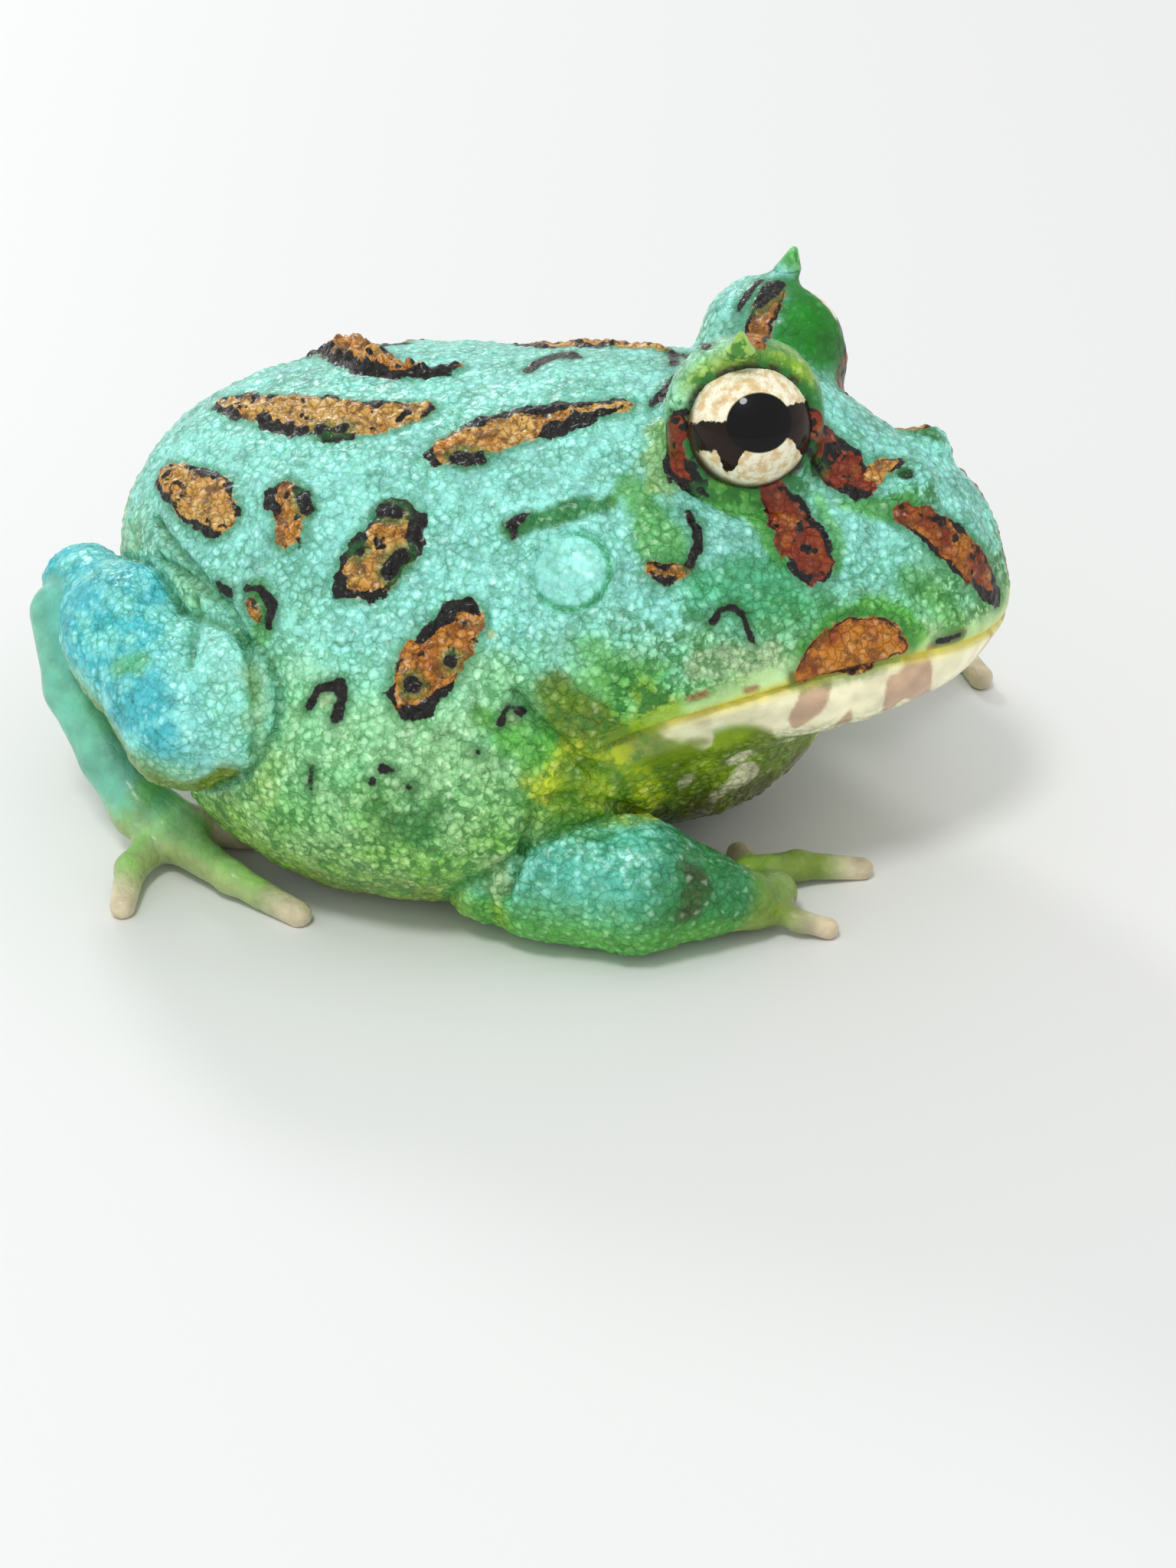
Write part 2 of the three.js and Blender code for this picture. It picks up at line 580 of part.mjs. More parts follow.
// A shallow ring groove round the eardrum
function earCut(s) {
  const ring = new THREE.TorusGeometry(EAR_RADIUS, 0.4, 6, 20);
  const outward = new THREE.Vector3(...unit(toSide(s, EAR_FACES)));
  ring.applyQuaternion(new THREE.Quaternion().setFromUnitVectors(new THREE.Vector3(0, 0, 1), outward));
  return solidOf(ring.translate(...toSide(s, EAR)));
}

for (const [side, s] of Object.entries(SIDES)) {
  head = head.subtract(eyeCut(side, s)).subtract(nostrilCut(s)).subtract(earCut(s));
  // The horn is cut from the lid along a level plane
  const [x, y, z] = HORNS[side];
  const around = (size, bottom) =>
    solidOf(new THREE.BoxGeometry(size, size, 6).translate(x, y, bottom + 3));
  const tip = closed(surface(animal.at, hornBox(side), STEPS.horn));
  place("horn_" + side, tip.intersect(around(HORN_WIDTH, z - HORN_HEIGHT)), leaf);
  head = head.subtract(around(HORN_WIDTH + 2 * GAP, z - HORN_HEIGHT - GAP));
  const eye = new THREE.SphereGeometry(EYE_RADIUS, 20, 12).rotateX(Math.PI / 2);
  place("eye_" + side, solidOf(eye.translate(...EYES[side])), dark);
}
place("torso", torso, turquoise);
place("head", head, turquoise);
place("jaw", jaw, cream);

// The origin is at the middle of the box that holds the animal, on the floor
const box = new THREE.Box3().setFromObject(frog, true);
frog.position.set(-(box.min.x + box.max.x) / 2, -(box.min.y + box.max.y) / 2, -box.min.z);

export default frog;
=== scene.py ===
import math
from itertools import product

import bpy
import numpy as np
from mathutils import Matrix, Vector


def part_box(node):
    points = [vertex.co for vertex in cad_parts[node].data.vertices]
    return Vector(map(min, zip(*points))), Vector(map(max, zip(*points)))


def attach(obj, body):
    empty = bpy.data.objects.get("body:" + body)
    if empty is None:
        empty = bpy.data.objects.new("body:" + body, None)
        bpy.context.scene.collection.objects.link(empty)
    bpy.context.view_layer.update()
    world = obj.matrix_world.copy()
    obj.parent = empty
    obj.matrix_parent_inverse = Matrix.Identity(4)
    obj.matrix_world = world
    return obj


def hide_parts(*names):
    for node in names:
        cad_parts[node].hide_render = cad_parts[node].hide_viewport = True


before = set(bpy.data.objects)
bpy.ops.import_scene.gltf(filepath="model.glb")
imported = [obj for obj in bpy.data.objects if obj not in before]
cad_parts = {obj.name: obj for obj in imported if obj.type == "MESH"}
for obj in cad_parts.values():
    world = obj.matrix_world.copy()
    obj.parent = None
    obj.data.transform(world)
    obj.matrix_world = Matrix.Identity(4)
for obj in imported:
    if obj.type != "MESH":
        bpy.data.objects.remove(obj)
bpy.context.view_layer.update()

MM = 0.001
FAR_AWAY = 99.0

# sizes in millimetres, in the animal's own frame: X to the snout, Y to its left, Z up, floor at zero
SKIN_STEP = 0.21
SKIN_ROOM = ((-31, -28, -1.2), (37, 28, 39))
HORN_STEP = 0.14
BELLY_LEVEL = 0.0
LIMB_FILLET = 0.35
TRUNK_FILLET = 4.5
EYE_RADIUS = 3.95
LID_EDGE = 1.35
LID_ROUNDING = 0.75
LID_RIM = 1.2
HORN_RIM = 0.35
HORN_FILLET = 0.8
SOCKET_SINK = 0.12
SOFT_EDGE = 0.5
EYE_RIGHT = (18.3, -6.3, 30.5)
EYE_LEFT = (17.7, 6.1, 30.1)
HORN_RIGHT = (18.1, -7.8, 36.7)
HORN_LEFT = (18.0, 7.2, 36.3)
EYE_OPENING = (0.3, 0.93, 0.2)
GAZE = (0.383, 0.829, 0.407)
HORN_HEIGHT = 1.1
HORN_ROOM = 2.5
HORN_SUNK = 0.12
HORN_SWELL = 0.03
NOSTRIL = (27.7, 2.7, 25.9)
NOSTRIL_PIT = (27.6, 3.5, 27.15)
NOSTRIL_SIZE = (0.62, 0.42, 0.5)
EAR = (9.7, 15.1, 23.7)
EAR_FACES = (0.03, 0.74, 0.68)
EAR_RADIUS = 2.35
BEHIND_JAW = (10.5, 17.5, 15.5)
UPPER_ELBOW = (10.8, 18.3, 11)
HEAD_WIDTH = 16.6
MOUTH_CORNER = (13.0, 13.5)
MOUTH_MIDDLE = (26.0, 17.2)
MOUTH_FRONT = (36.0, 16.0)

# sizes of the skin's grain, and how far each form stands out or sinks in
PEBBLE, PEBBLE_HEIGHT = 0.78, 0.19
WART, WART_HEIGHT = 1.7, 0.16
LUMP = 0.95
SWELL, SWELL_HEIGHT = 1.9, 0.34
JUNCTION_DEPTH = 0.22
MOUTH_DEPTH = 0.55
FOLD_DEPTH = 0.42
EAR_RING_DEPTH = 0.38
NOSTRIL_DEPTH = 0.55
GRAIN, GRAIN_BEND = 0.58, 0.55
BEND_SIZE = 0.45

# the photographed view, in the same frame
CAMERA_AT = (56.02, -178.17, 110.73)
CAMERA_LOOKS_AT = (6.77, -0.58, 0.0)
LENS = 73.32
SENSOR = 36.0
PICTURE_WIDE = 1536
PICTURE_HIGH = 2048
# rays through the pixels: their start, their end and the distance from the skin that is near enough
RAY_START = 170.0
RAY_END = 270.0
NEAR_ENOUGH = 0.02


def away(p, place, stretch=1):
    """The distance of each point from a place."""
    return np.sqrt((((p - place) / stretch)**2).sum(1))


# shapes: at(points) is the distance to the skin of the form, negative inside
class Shape:
    def __init__(self, centre, reach, at):
        self.centre = np.asarray(centre, float)
        self.reach = reach
        self.at = at


def ellipsoid(centre, radii, pitch=0.0, yaw=0.0):
    c = np.array(centre, float)
    r = np.array(radii, float)
    cp, cy = np.cos(np.radians((pitch, yaw)))
    sp, sy = np.sin(np.radians((pitch, yaw)))

    def at(p):
        d = p - c
        along = d[:, 0] * cy + d[:, 1] * sy
        across = d[:, 1] * cy - d[:, 0] * sy
        x = along * cp + d[:, 2] * sp
        z = d[:, 2] * cp - along * sp
        k0 = np.sqrt((x / r[0])**2 + (across / r[1])**2 + (z / r[2])**2)
        k1 = np.sqrt((x / r[0]**2)**2 + (across / r[1]**2)**2 + (z / r[2]**2)**2) + 1e-9
        return np.where(k0 < 1e-4, -r.min(), k0 * (k0 - 1) / k1)
    return Shape(c, r.max(), at)


def taper(start, end, radius_start, radius_end):
    a = np.array(start, float)
    b = np.array(end, float)
    along = b - a
    l2 = along @ along
    rr = radius_start - radius_end
    a2 = l2 - rr * rr

    def at(p):
        pa = p - a
        y = pa @ along
        z = y - l2
        q = pa * l2 - np.outer(y, along)
        x2 = (q * q).sum(1)
        y2 = y * y * l2
        z2 = z * z * l2
        k = np.sign(rr) * rr * rr * x2
        d = (np.sqrt(x2 * a2 / l2) + y * rr) / l2 - radius_start
        d = np.where(np.sign(y) * a2 * y2 < k, np.sqrt(x2 + y2) / l2 - radius_start, d)
        return np.where(np.sign(z) * a2 * z2 > k, np.sqrt(x2 + z2) / l2 - radius_end, d)
    return Shape((a + b) / 2, math.sqrt(l2) / 2 + max(radius_start, radius_end), at)


def ball(centre, radius):
    return Shape(centre, radius, lambda p: away(p, centre) - radius)


def soft_min(a, b, k):
    h = np.maximum(k - np.abs(a - b), 0) / k
    return np.minimum(a, b) - h * h * k / 4


def soft_max(a, b, k):
    return -soft_min(-a, -b, k)


def blend(fillets, members):
    fillets = np.broadcast_to(fillets, len(members))
    centre = np.mean([m.centre for m in members], 0)
    reach = max(np.linalg.norm(m.centre - centre) + m.reach for m in members)

    def at(p):
        d = np.full(len(p), 1e3)
        for member, fillet in zip(members, fillets):
            least = away(p, member.centre) - member.reach
            near = least < d + fillet + 0.5
            if near.any():
                d[near] = soft_min(d[near], member.at(p[near]), fillet)
        return d
    return Shape(centre, reach, at)


def limb(*stations, fillet=0.6):
    return blend(fillet, [taper(a[0], b[0], a[1], b[1]) for a, b in zip(stations, stations[1:])])


def on_side(side, point):
    return (point[0], side * point[1], point[2])


def shifted(point, by):
    return tuple(p + b for p, b in zip(point, by))


# the trunk: back, flanks, head, jaw, lips, eyelids and nostril rims; the horns join it in flesh
back_and_flanks = [
    ellipsoid((-4.3, 0, 15.3), (19.1, 19, 12.9)),
    ellipsoid((5, 0, 17.8), (14, 14.5, 10.3)),
    ellipsoid((-15.6, 0, 16), (7.8, 10.5, 8)),
    *[ellipsoid((-2.2, s * 13.2, 8.7), (15.2, 10.4, 9), 0, s * 6) for s in (-1, 1)],
    *[ellipsoid((7.5, s * 9.5, 14.5), (9.5, 8.5, 9)) for s in (-1, 1)],
    ellipsoid((-1, 0, 8), (15, 15, 8.3)),
]
skull = [
    ellipsoid((11.5, 0, 20.2), (12.5, 12.5, 10)),
    *[ellipsoid((12.5, s * 8.2, 17.6), (11, HEAD_WIDTH - 8.2, 7.6), 0, -s * 8) for s in (-1, 1)],
    ellipsoid((20.8, 0, 19.2), (12.4, 10.6, 7)),
    taper((18, 0, 26.7), (27.3, 0, 22.4), 4.5, 3.05),
]
lower_jaw = [
    ellipsoid((16.6, 0, 14), (14.9, HEAD_WIDTH - 3.2, 3.7), 3),
    ellipsoid((12.2, 0, 8.6), (10.4, 12.3, 7.8)),
]
lips = blend(3, [
    ellipsoid((13.5, 0, 16.6), (15.5, 16.4, 2.6), -1),
    ellipsoid((20.8, 0, 16.9), (12.6, 9.5, 2.8), -1),
])
lids = blend(1.6, [
    ball(EYE_RIGHT, EYE_RADIUS + 0.3),
    ball(shifted(EYE_RIGHT, (-0.4, 0.4, 0.55)), EYE_RADIUS + 0.6),
    ball(EYE_LEFT, EYE_RADIUS + 0.3),
    ball(shifted(EYE_LEFT, (-0.9, 0, 0.3)), EYE_RADIUS + 0.3),
])
horns = {
    -1: taper(shifted(EYE_RIGHT, (-0.3, -0.9, 3.4)), HORN_RIGHT, 1.4, 0.25),
    1: taper(shifted(EYE_LEFT, (-0.3, 0.9, 3.4)), HORN_LEFT, 1.4, 0.25),
}
nostril_rims = [ball(on_side(s, NOSTRIL), 1.5) for s in (-1, 1)]
big_forms = back_and_flanks + skull + lower_jaw
trunk = blend([TRUNK_FILLET] * len(big_forms) + [2.2, 1.8, 1.2, 1.2],
              big_forms + [lips, lids] + nostril_rims)

# the limbs: stations of a point and a radius; the left ones are the right ones mirrored and moved a little
RIGHT = {
    "upper_arm": [((9.4, -14.8, 10.6), 4.6), ((5.9, -18.2, 4.4), 3.75)],
    "forearm": [((9, -18.5, 4.3), 4.15), ((14.6, -18, 4.05), 4.1), ((20.9, -15.7, 2.7), 1.9)],
    "palm": [((21.4, -15, 2.2), 1.8), ((22.3, -13, 1.7), 1.5)],
    "fingers": [
        [((22.2, -14.6, 1.6), 0.9), ((24.4, -14.8, 1.1), 0.6), ((26.1, -14.4, 0.6), 0.7)],
        [((20.4, -11.6, 1.9), 1.2), ((22.9, -8.8, 1.3), 0.9), ((26.8, -7, 0.6), 0.7)],
        [((21.6, -12.6, 1.5), 1), ((19.9, -9.5, 1.1), 0.8), ((18.9, -7.8, 0.8), 0.85)],
        [((21, -13, 1.4), 0.9), ((18.4, -11.2, 1), 0.75), ((16.7, -9.6, 0.8), 0.8)],
    ],
    "thigh": [((-17, -9.2, 13.3), 4.8), ((-10.8, -18, 13), 4.9)],
    "shank": [((-13.6, -19.3, 12.2), 4.4), ((-19.2, -13.4, 14), 4.3), ((-25, -8.4, 14.4), 2.8)],
    "tarsus": [((-25.6, -11.1, 13.8), 2.1), ((-24.3, -12.9, 9.4), 1.95), ((-21.5, -14.6, 5.7), 1.9),
               ((-18.8, -16.2, 3.1), 1.95)],
    "sole": [((-17.6, -16.2, 2.4), 1.9), ((-15.6, -16.6, 1.8), 1.6)],
    "toes": [
        [((-17.2, -17.4, 1.7), 1.3), ((-18, -20.4, 1.2), 0.95), ((-17.2, -23.8, 0.6), 0.8)],
        [((-15.8, -17.4, 1.8), 1.4), ((-11.4, -19.8, 1.3), 1), ((-6.2, -21.7, 0.6), 0.85)],
        [((-15.6, -15.4, 1.8), 1.3), ((-13, -14.2, 1.4), 1.25), ((-10.2, -13.7, 0.8), 1)],
        [((-15.8, -15.6, 1.5), 1.1), ((-14.2, -13.6, 1.1), 0.9), ((-12.6, -12.6, 0.8), 0.85)],
        [((-16.8, -15.4, 1.4), 1), ((-16.4, -13.4, 1), 0.85), ((-15.8, -11.8, 0.8), 0.8)],
    ],
}
LEG_IN = (1.4, -0.9, -1.2)
FOOT_IN = (1.4, -0.9, 0)
LEFT_HEEL_DROP = -1.9
LEFT_ARM = {
    "forearm": [((9.3, 18.9, 4.2), 3.8), ((15.7, 20.3, 3.95), 4), ((21.8, 21.6, 2.8), 2.1)],
    "palm": [((23.4, 22, 2.2), 1.8), ((24.8, 22.3, 1.7), 1.5)],
    "fingers": [
        [((26, 22.8, 1.5), 1), ((28.2, 22.2, 1.2), 0.75), ((30, 19.7, 0.8), 0.85)],
        [((25.2, 21.4, 1.6), 1.1), ((25.4, 19.8, 1.2), 0.9), ((25.3, 18.6, 0.8), 0.85)],
        [((24.4, 20.8, 1.5), 1), ((23.4, 18.8, 1.1), 0.8), ((22.6, 17.6, 0.8), 0.85)],
        [((23.2, 21, 1.3), 0.9), ((21.2, 19.4, 1), 0.75), ((20, 18.2, 0.8), 0.8)],
    ],
}


def mirrored(stations, by=(0, 0, 0)):
    if isinstance(stations[0], list):
        return [mirrored(s, by) for s in stations]
    return [(shifted(on_side(-1, point), by), radius) for point, radius in stations]


LEFT = {name: mirrored(stations) for name, stations in RIGHT.items()}
LEFT.update(LEFT_ARM)
for name in ("thigh", "shank"):
    LEFT[name] = mirrored(RIGHT[name], LEG_IN)
for name in ("tarsus", "sole", "toes"):
    LEFT[name] = mirrored(RIGHT[name], FOOT_IN)
LEFT["tarsus"][0] = (shifted(LEFT["tarsus"][0][0], (0, 0, LEFT_HEEL_DROP)), LEFT["tarsus"][0][1])


def limbs_from(bones):
    hand = [limb(*row) for row in [bones["palm"]] + bones["fingers"]]
    foot = [limb(*row) for row in [bones["tarsus"] + bones["sole"]] + bones["toes"]]
    return {
        "upper_arm": limb(*bones["upper_arm"]),
        "forearm": limb(*bones["forearm"]),
        "hand": blend(0.7, hand),
        "thigh": limb(*bones["thigh"]),
        "shank": limb(*bones["shank"], fillet=2),
        "foot": blend(0.8, foot),
    }


limbs = {"right": limbs_from(RIGHT), "left": limbs_from(LEFT)}
all_limbs = [form for side in limbs.values() for form in side.values()]
body = blend(LIMB_FILLET, [trunk] + all_limbs)


def unit(v):
    v = np.asarray(v, float)
    return v / np.linalg.norm(v)


EYES = {"right": (np.array(EYE_RIGHT), -1), "left": (np.array(EYE_LEFT), 1)}
HORNS = {"right": np.array(HORN_RIGHT), "left": np.array(HORN_LEFT)}


def flesh(p):
    """The body with its lids opened over the eyes."""
    d = body.at(p)
    for centre, side in EYES.values():
        near = away(p, centre) < EYE_RADIUS + 3.5
        q = p[near] - centre
        out = q @ unit(on_side(side, EYE_OPENING))
        r = away(p[near], centre)
        aside = np.sqrt(np.maximum(r * r - out * out, 0))
        opening = soft_max(LID_EDGE - out, aside - (EYE_RADIUS + LID_RIM), SOFT_EDGE)
        overhang = soft_max(LID_EDGE - out, aside - (EYE_RADIUS + HORN_RIM), SOFT_EDGE)
        horn = soft_max(horns[side].at(p[near]), -overhang, SOFT_EDGE)
        lid = soft_max(d[near], -opening, LID_ROUNDING)
        lid = soft_min(lid, horn, HORN_FILLET)
        d[near] = soft_max(lid, EYE_RADIUS - SOCKET_SINK - r, SOCKET_SINK)
    return d


def past_horn_room(p, tip, sunk=0):
    """Negative in the room round a horn's tip, above the level at which the horn leaves its lid."""
    aside = np.sqrt((p[:, 0] - tip[0])**2 + (p[:, 1] - tip[1])**2)
    return np.maximum(tip[2] - HORN_HEIGHT - sunk - p[:, 2], aside - HORN_ROOM)


def skin_alone(p):
    """The body without the tips of its horns."""
    d = flesh(p)
    for tip in HORNS.values():
        d = np.maximum(d, -past_horn_room(p, tip))
    return d


def horn_alone(tip):
    """One horn's tip, a little swollen, with its root sunk into the lid."""
    return lambda p: np.maximum(flesh(p) - HORN_SWELL, past_horn_room(p, tip, HORN_SUNK))


FOUR_WAYS = np.array([(1, -1, -1), (-1, -1, 1), (-1, 1, -1), (1, 1, 1)])


def slope(field, p, h=0.02):
    """The field's slope and value at each point, from four points round it."""
    g = np.zeros_like(p)
    total = np.zeros(len(p))
    for way in FOUR_WAYS:
        d = field(p + way * h)
        g += way * d[:, None]
        total += d
    return g / (4 * h), total / 4


# a mesh over a field: blocks near the skin are split and sampled finely, then each cell gets one point
def skin_mesh(field, low, high, step, coarse=8):
    low = np.array(low, float)
    shape = np.ceil((np.array(high) - low) / (step * coarse)).astype(int) * coarse
    level = coarse
    index = np.indices(shape // level).reshape(3, -1).T
    values = np.full(shape // level, 9.0, np.float32)
    while True:
        size = step * level
        d = field(low + (index + 0.5) * size).astype(np.float32)
        values[tuple(index.T)] = d
        if level == 1:
            break
        split = 4 if level == 8 else 2
        # half a block's diagonal, and some to spare
        near = np.abs(d) < size * 0.87 * 1.5 + 0.3
        parents = index[near]
        offsets = np.indices([split] * 3).reshape(3, -1).T
        index = (parents[:, None] * split + offsets[None]).reshape(-1, 3)
        values = values.repeat(split, 0).repeat(split, 1).repeat(split, 2)
        level //= split
    inside = values < 0
    corners = list(product((0, 1), repeat=3))
    cells = shape - 1
    count = np.zeros(cells, np.int8)
    for i, j, k in corners:
        count += inside[i:i + cells[0], j:j + cells[1], k:k + cells[2]]
    mixed = (count > 0) & (count < 8)
    cell = np.argwhere(mixed)
    number = np.full(cells, -1, np.int64)
    number[mixed] = np.arange(len(cell))
    total = np.zeros((len(cell), 3))
    crossings = np.zeros(len(cell))
    for a in corners:
        for axis in range(3):
            if a[axis]:
                continue
            b = list(a)
            b[axis] = 1
            va = values[tuple((cell + a).T)]
            vb = values[tuple((cell + b).T)]
            cross = (va < 0) != (vb < 0)
            t = va / np.where(cross, va - vb, 1)
            spot = np.array(a) + np.outer(t, np.array(b) - np.array(a))
            total[cross] += spot[cross]
            crossings[cross] += 1
    points = low + (cell + total / crossings[:, None] + 0.5) * step
    faces = []
    for axis in range(3):
        u, v = (axis + 1) % 3, (axis + 2) % 3
        here = [slice(1, n) for n in cells]
        here[axis] = slice(0, cells[axis])
        there = list(here)
        there[axis] = slice(1, cells[axis] + 1)
        first = inside[tuple(here)]
        second = inside[tuple(there)]
        for flip, edge in ((False, first & ~second), (True, ~first & second)):
            start = np.argwhere(edge) + 1
            start[:, axis] -= 1
            ring = []
            for way in ((-1, -1), (0, -1), (0, 0), (-1, 0)):
                at = start.copy()
                at[:, (u, v)] += way
                ring.append(number[tuple(at.T)])
            quad = np.stack(ring, 1)
            faces.append(quad[:, ::-1] if flip else quad)
    return points, np.concatenate(faces)


def settled(field, points, rounds=2, reach=0.2):
    for _ in range(rounds):
        g, d = slope(field, points)
        move = d / np.maximum((g * g).sum(1), 0.15)
        points = points - g * np.clip(move, -reach, reach)[:, None]
    return points


# steady random numbers, rolling noise and pebbles, all from whole-number cells
def random_at(cell, seed):
    n = (cell[..., 0] * 73856093) ^ (cell[..., 1] * 19349663) ^ (cell[..., 2] * 83492791) ^ (seed * 26544357)
    n = ((n ^ (n >> 13)) * 1274126177) & 0x7FFFFFFF
    n = ((n ^ (n >> 11)) * 668265263) & 0x7FFFFFFF
    return ((n >> 5) & 0xFFFFF) / 0xFFFFF


def rolling(p, size, seed):
    """Smooth noise from 0 to 1, about half a cell to a swelling."""
    q = p / size
    base = np.floor(q).astype(np.int64)
    f = q - base
    f = f * f * (3 - 2 * f)
    total = np.zeros(len(p))
    for corner in product((0, 1), repeat=3):
        weight = np.abs(1 - np.array(corner) - f).prod(1)
        total += weight * random_at(base + corner, seed)
    return total


def pebbles(p, size, seed):
    """Distance to the nearest pebble's middle, to the next one, and a random number for the pebble."""
    q = p / size
    base = np.floor(q).astype(np.int64)
    first = np.full(len(p), 9.0)
    second = np.full(len(p), 9.0)
    name = np.zeros(len(p))
    for step in product((-1, 0, 1), repeat=3):
        cell = base + step
        spot = cell + np.stack([random_at(cell, seed + n) for n in (1, 2, 3)], 1) * 0.8 + 0.1
        d = away(q, spot)
        nearer = d < first
        second = np.where(nearer, first, np.minimum(second, d))
        name = np.where(nearer, random_at(cell, seed), name)
        first = np.where(nearer, d, first)
    return first, second, name


def ramp(x, low, high):
    t = np.clip((x - low) / (high - low), 0, 1)
    return t * t * (3 - 2 * t)


def fade(x, low, high):
    return 1 - ramp(x, low, high)


def bell(x, width):
    return np.exp(-(x / width)**2)


# the photographed view: rays through its pixels find the places of the marks on the skin
eye_point = np.array(CAMERA_AT)
back_axis = unit(eye_point - CAMERA_LOOKS_AT)
right_axis = unit(np.cross((0, 0, 1), back_axis))
up_axis = np.cross(back_axis, right_axis)


def spots_on_skin(pixels):
    from_middle = np.array(pixels) - (PICTURE_WIDE / 2, PICTURE_HIGH / 2)
    across, below = (from_middle * SENSOR / PICTURE_HIGH / LENS).T
    way = across[:, None] * right_axis - below[:, None] * up_axis - back_axis
    way /= np.linalg.norm(way, axis=1)[:, None]
    far = np.full(len(way), RAY_START)
    best = far.copy()
    least = np.full(len(way), 1e3)
    for _ in range(120):
        d = flesh(eye_point + way * far[:, None])
        closer = d < least
        least = np.where(closer, d, least)
        best = np.where(closer, far, best)
        far = far + np.where(least > NEAR_ENOUGH, np.maximum(d, NEAR_ENOUGH) * 0.8, 0)
        if (least < NEAR_ENOUGH).all() or far.min() > RAY_END:
            break
    return eye_point + way * best[:, None]


# colours of the zones and the marks, in linear red, green and blue
TURQUOISE = (0.33, 0.86, 0.77)
BLUE = (0.08, 0.62, 0.7)
MINT = (0.45, 0.93, 0.52)
SEA = (0.07, 0.52, 0.22)
MOSS = (0.008, 0.2, 0.008)
DOME_GREEN = (0.004, 0.26, 0.004)
LEAF = (0.13, 0.52, 0.05)
LIME = (0.4, 0.6, 0.004)
LIME_WITH_PAINTED_LIGHT = (0.62, 0.72, 0.02)
PALE_GREEN = (0.5, 0.66, 0.36)
TARSUS_GREEN = (0.16, 0.55, 0.42)
OLIVE = (0.17, 0.27, 0.002)
PALE_OLIVE = (0.3, 0.4, 0.03)
TOE_OLIVE = (0.38, 0.46, 0.16)
YELLOW = (0.84, 0.72, 0.02)
CREAM = (0.98, 0.93, 0.63)
TOE_CREAM = (0.74, 0.64, 0.46)
INNER_TOE_CREAM = (0.72, 0.62, 0.46)
PINK = (0.55, 0.33, 0.22)
SHADE_BROWN = (0.1, 0.05, 0.012)
UMBER = (0.055, 0.05, 0.006)
RUST = (0.3, 0.06, 0.006)
BLACKISH = (0.008, 0.007, 0.004)
BLACK = (0.006, 0.005, 0.004)
TAN = (0.72, 0.43, 0.1)
ORANGE = (0.6, 0.21, 0.012)
RED_BROWN = (0.25, 0.024, 0.002)
# the pale of the painted highlights on the blotches
PALE = (0.82, 0.7, 0.42)

# marks on the near side: each is a row of picture pixels, each with a half width in millimetres
# blotches: a warmth from 0, pale tan, to 1, red brown, the strength of the black rim, and a row
BLOTCHES = {
    "far_rear_back": (0.35, 0.9, [(400, 455, 0.9), (440, 447, 1.3), (462, 463, 1.7), (490, 478, 1.4),
        (525, 488, 0.8), (560, 489, 0.5), (596, 482, 0.5)]),
    "near_rear_back": (0.1, 0.8, [(290, 527, 0.6), (330, 532, 1.4), (394, 541, 2), (448, 549, 2),
        (505, 545, 1.5), (550, 537, 0.9)]),
    "near_front_back": (0.2, 0.9, [(585, 590, 1.2), (610, 583, 1.6), (650, 565, 1.6), (700, 552, 1.4),
        (760, 541, 1), (815, 531, 0.6)]),
    "rear_flank": (0.15, 0.55, [(218, 622, 1), (245, 638, 1.6), (270, 655, 1.9), (290, 675, 1.4)]),
    "small_flank": (0.4, 0.8, [(370, 648, 1.1), (382, 672, 1.2), (376, 700, 0.9)]),
    "mid_flank": (0.2, 1.0, [(520, 682, 1.4), (505, 715, 2), (480, 745, 1.8), (458, 768, 0.8)]),
    "low_flank": (0.5, 0.85, [(606, 812, 1.3), (585, 845, 1.6), (555, 875, 1.9), (538, 905, 1.5)]),
    "cheek": (0.4, 0.35, [(850, 744, 0.4), (868, 750, 0.7), (888, 746, 0.5)]),
    "behind_eye": (1.05, 0.9, [(886, 552, 0.7), (876, 578, 1.1), (886, 608, 0.9), (908, 634, 0.4)]),
    "before_eye": (1.0, 0.75, [(1058, 556, 1.1), (1076, 586, 1.6), (1102, 614, 1.6), (1126, 632, 1)]),
    "nostril_end": (0.3, 0.3, [(1132, 624, 0.7), (1150, 612, 0.8), (1174, 604, 0.5)]),
    "under_eye": (0.95, 0.6, [(1008, 640, 0.8), (1028, 672, 1.4), (1046, 705, 1.7), (1062, 735, 1.4)]),
    "snout": (0.75, 0.55, [(1182, 674, 0.8), (1210, 684, 1.1), (1240, 706, 1.4), (1268, 735, 1.3),
        (1290, 762, 1), (1302, 778, 0.6)]),
    "lip": (0.62, 0.15, [(1050, 880, 0.7), (1080, 857, 1.4), (1115, 842, 1.9), (1150, 838, 1.5),
        (1175, 845, 0.7)]),
    "far_dome": (0.7, 0.35, [(1012, 376, 0.7), (1002, 400, 0.9), (990, 430, 0.9), (985, 446, 0.8)]),
    "groin": (0.3, 0.5, [(330, 788, 0.5), (339, 806, 0.4)]),
}
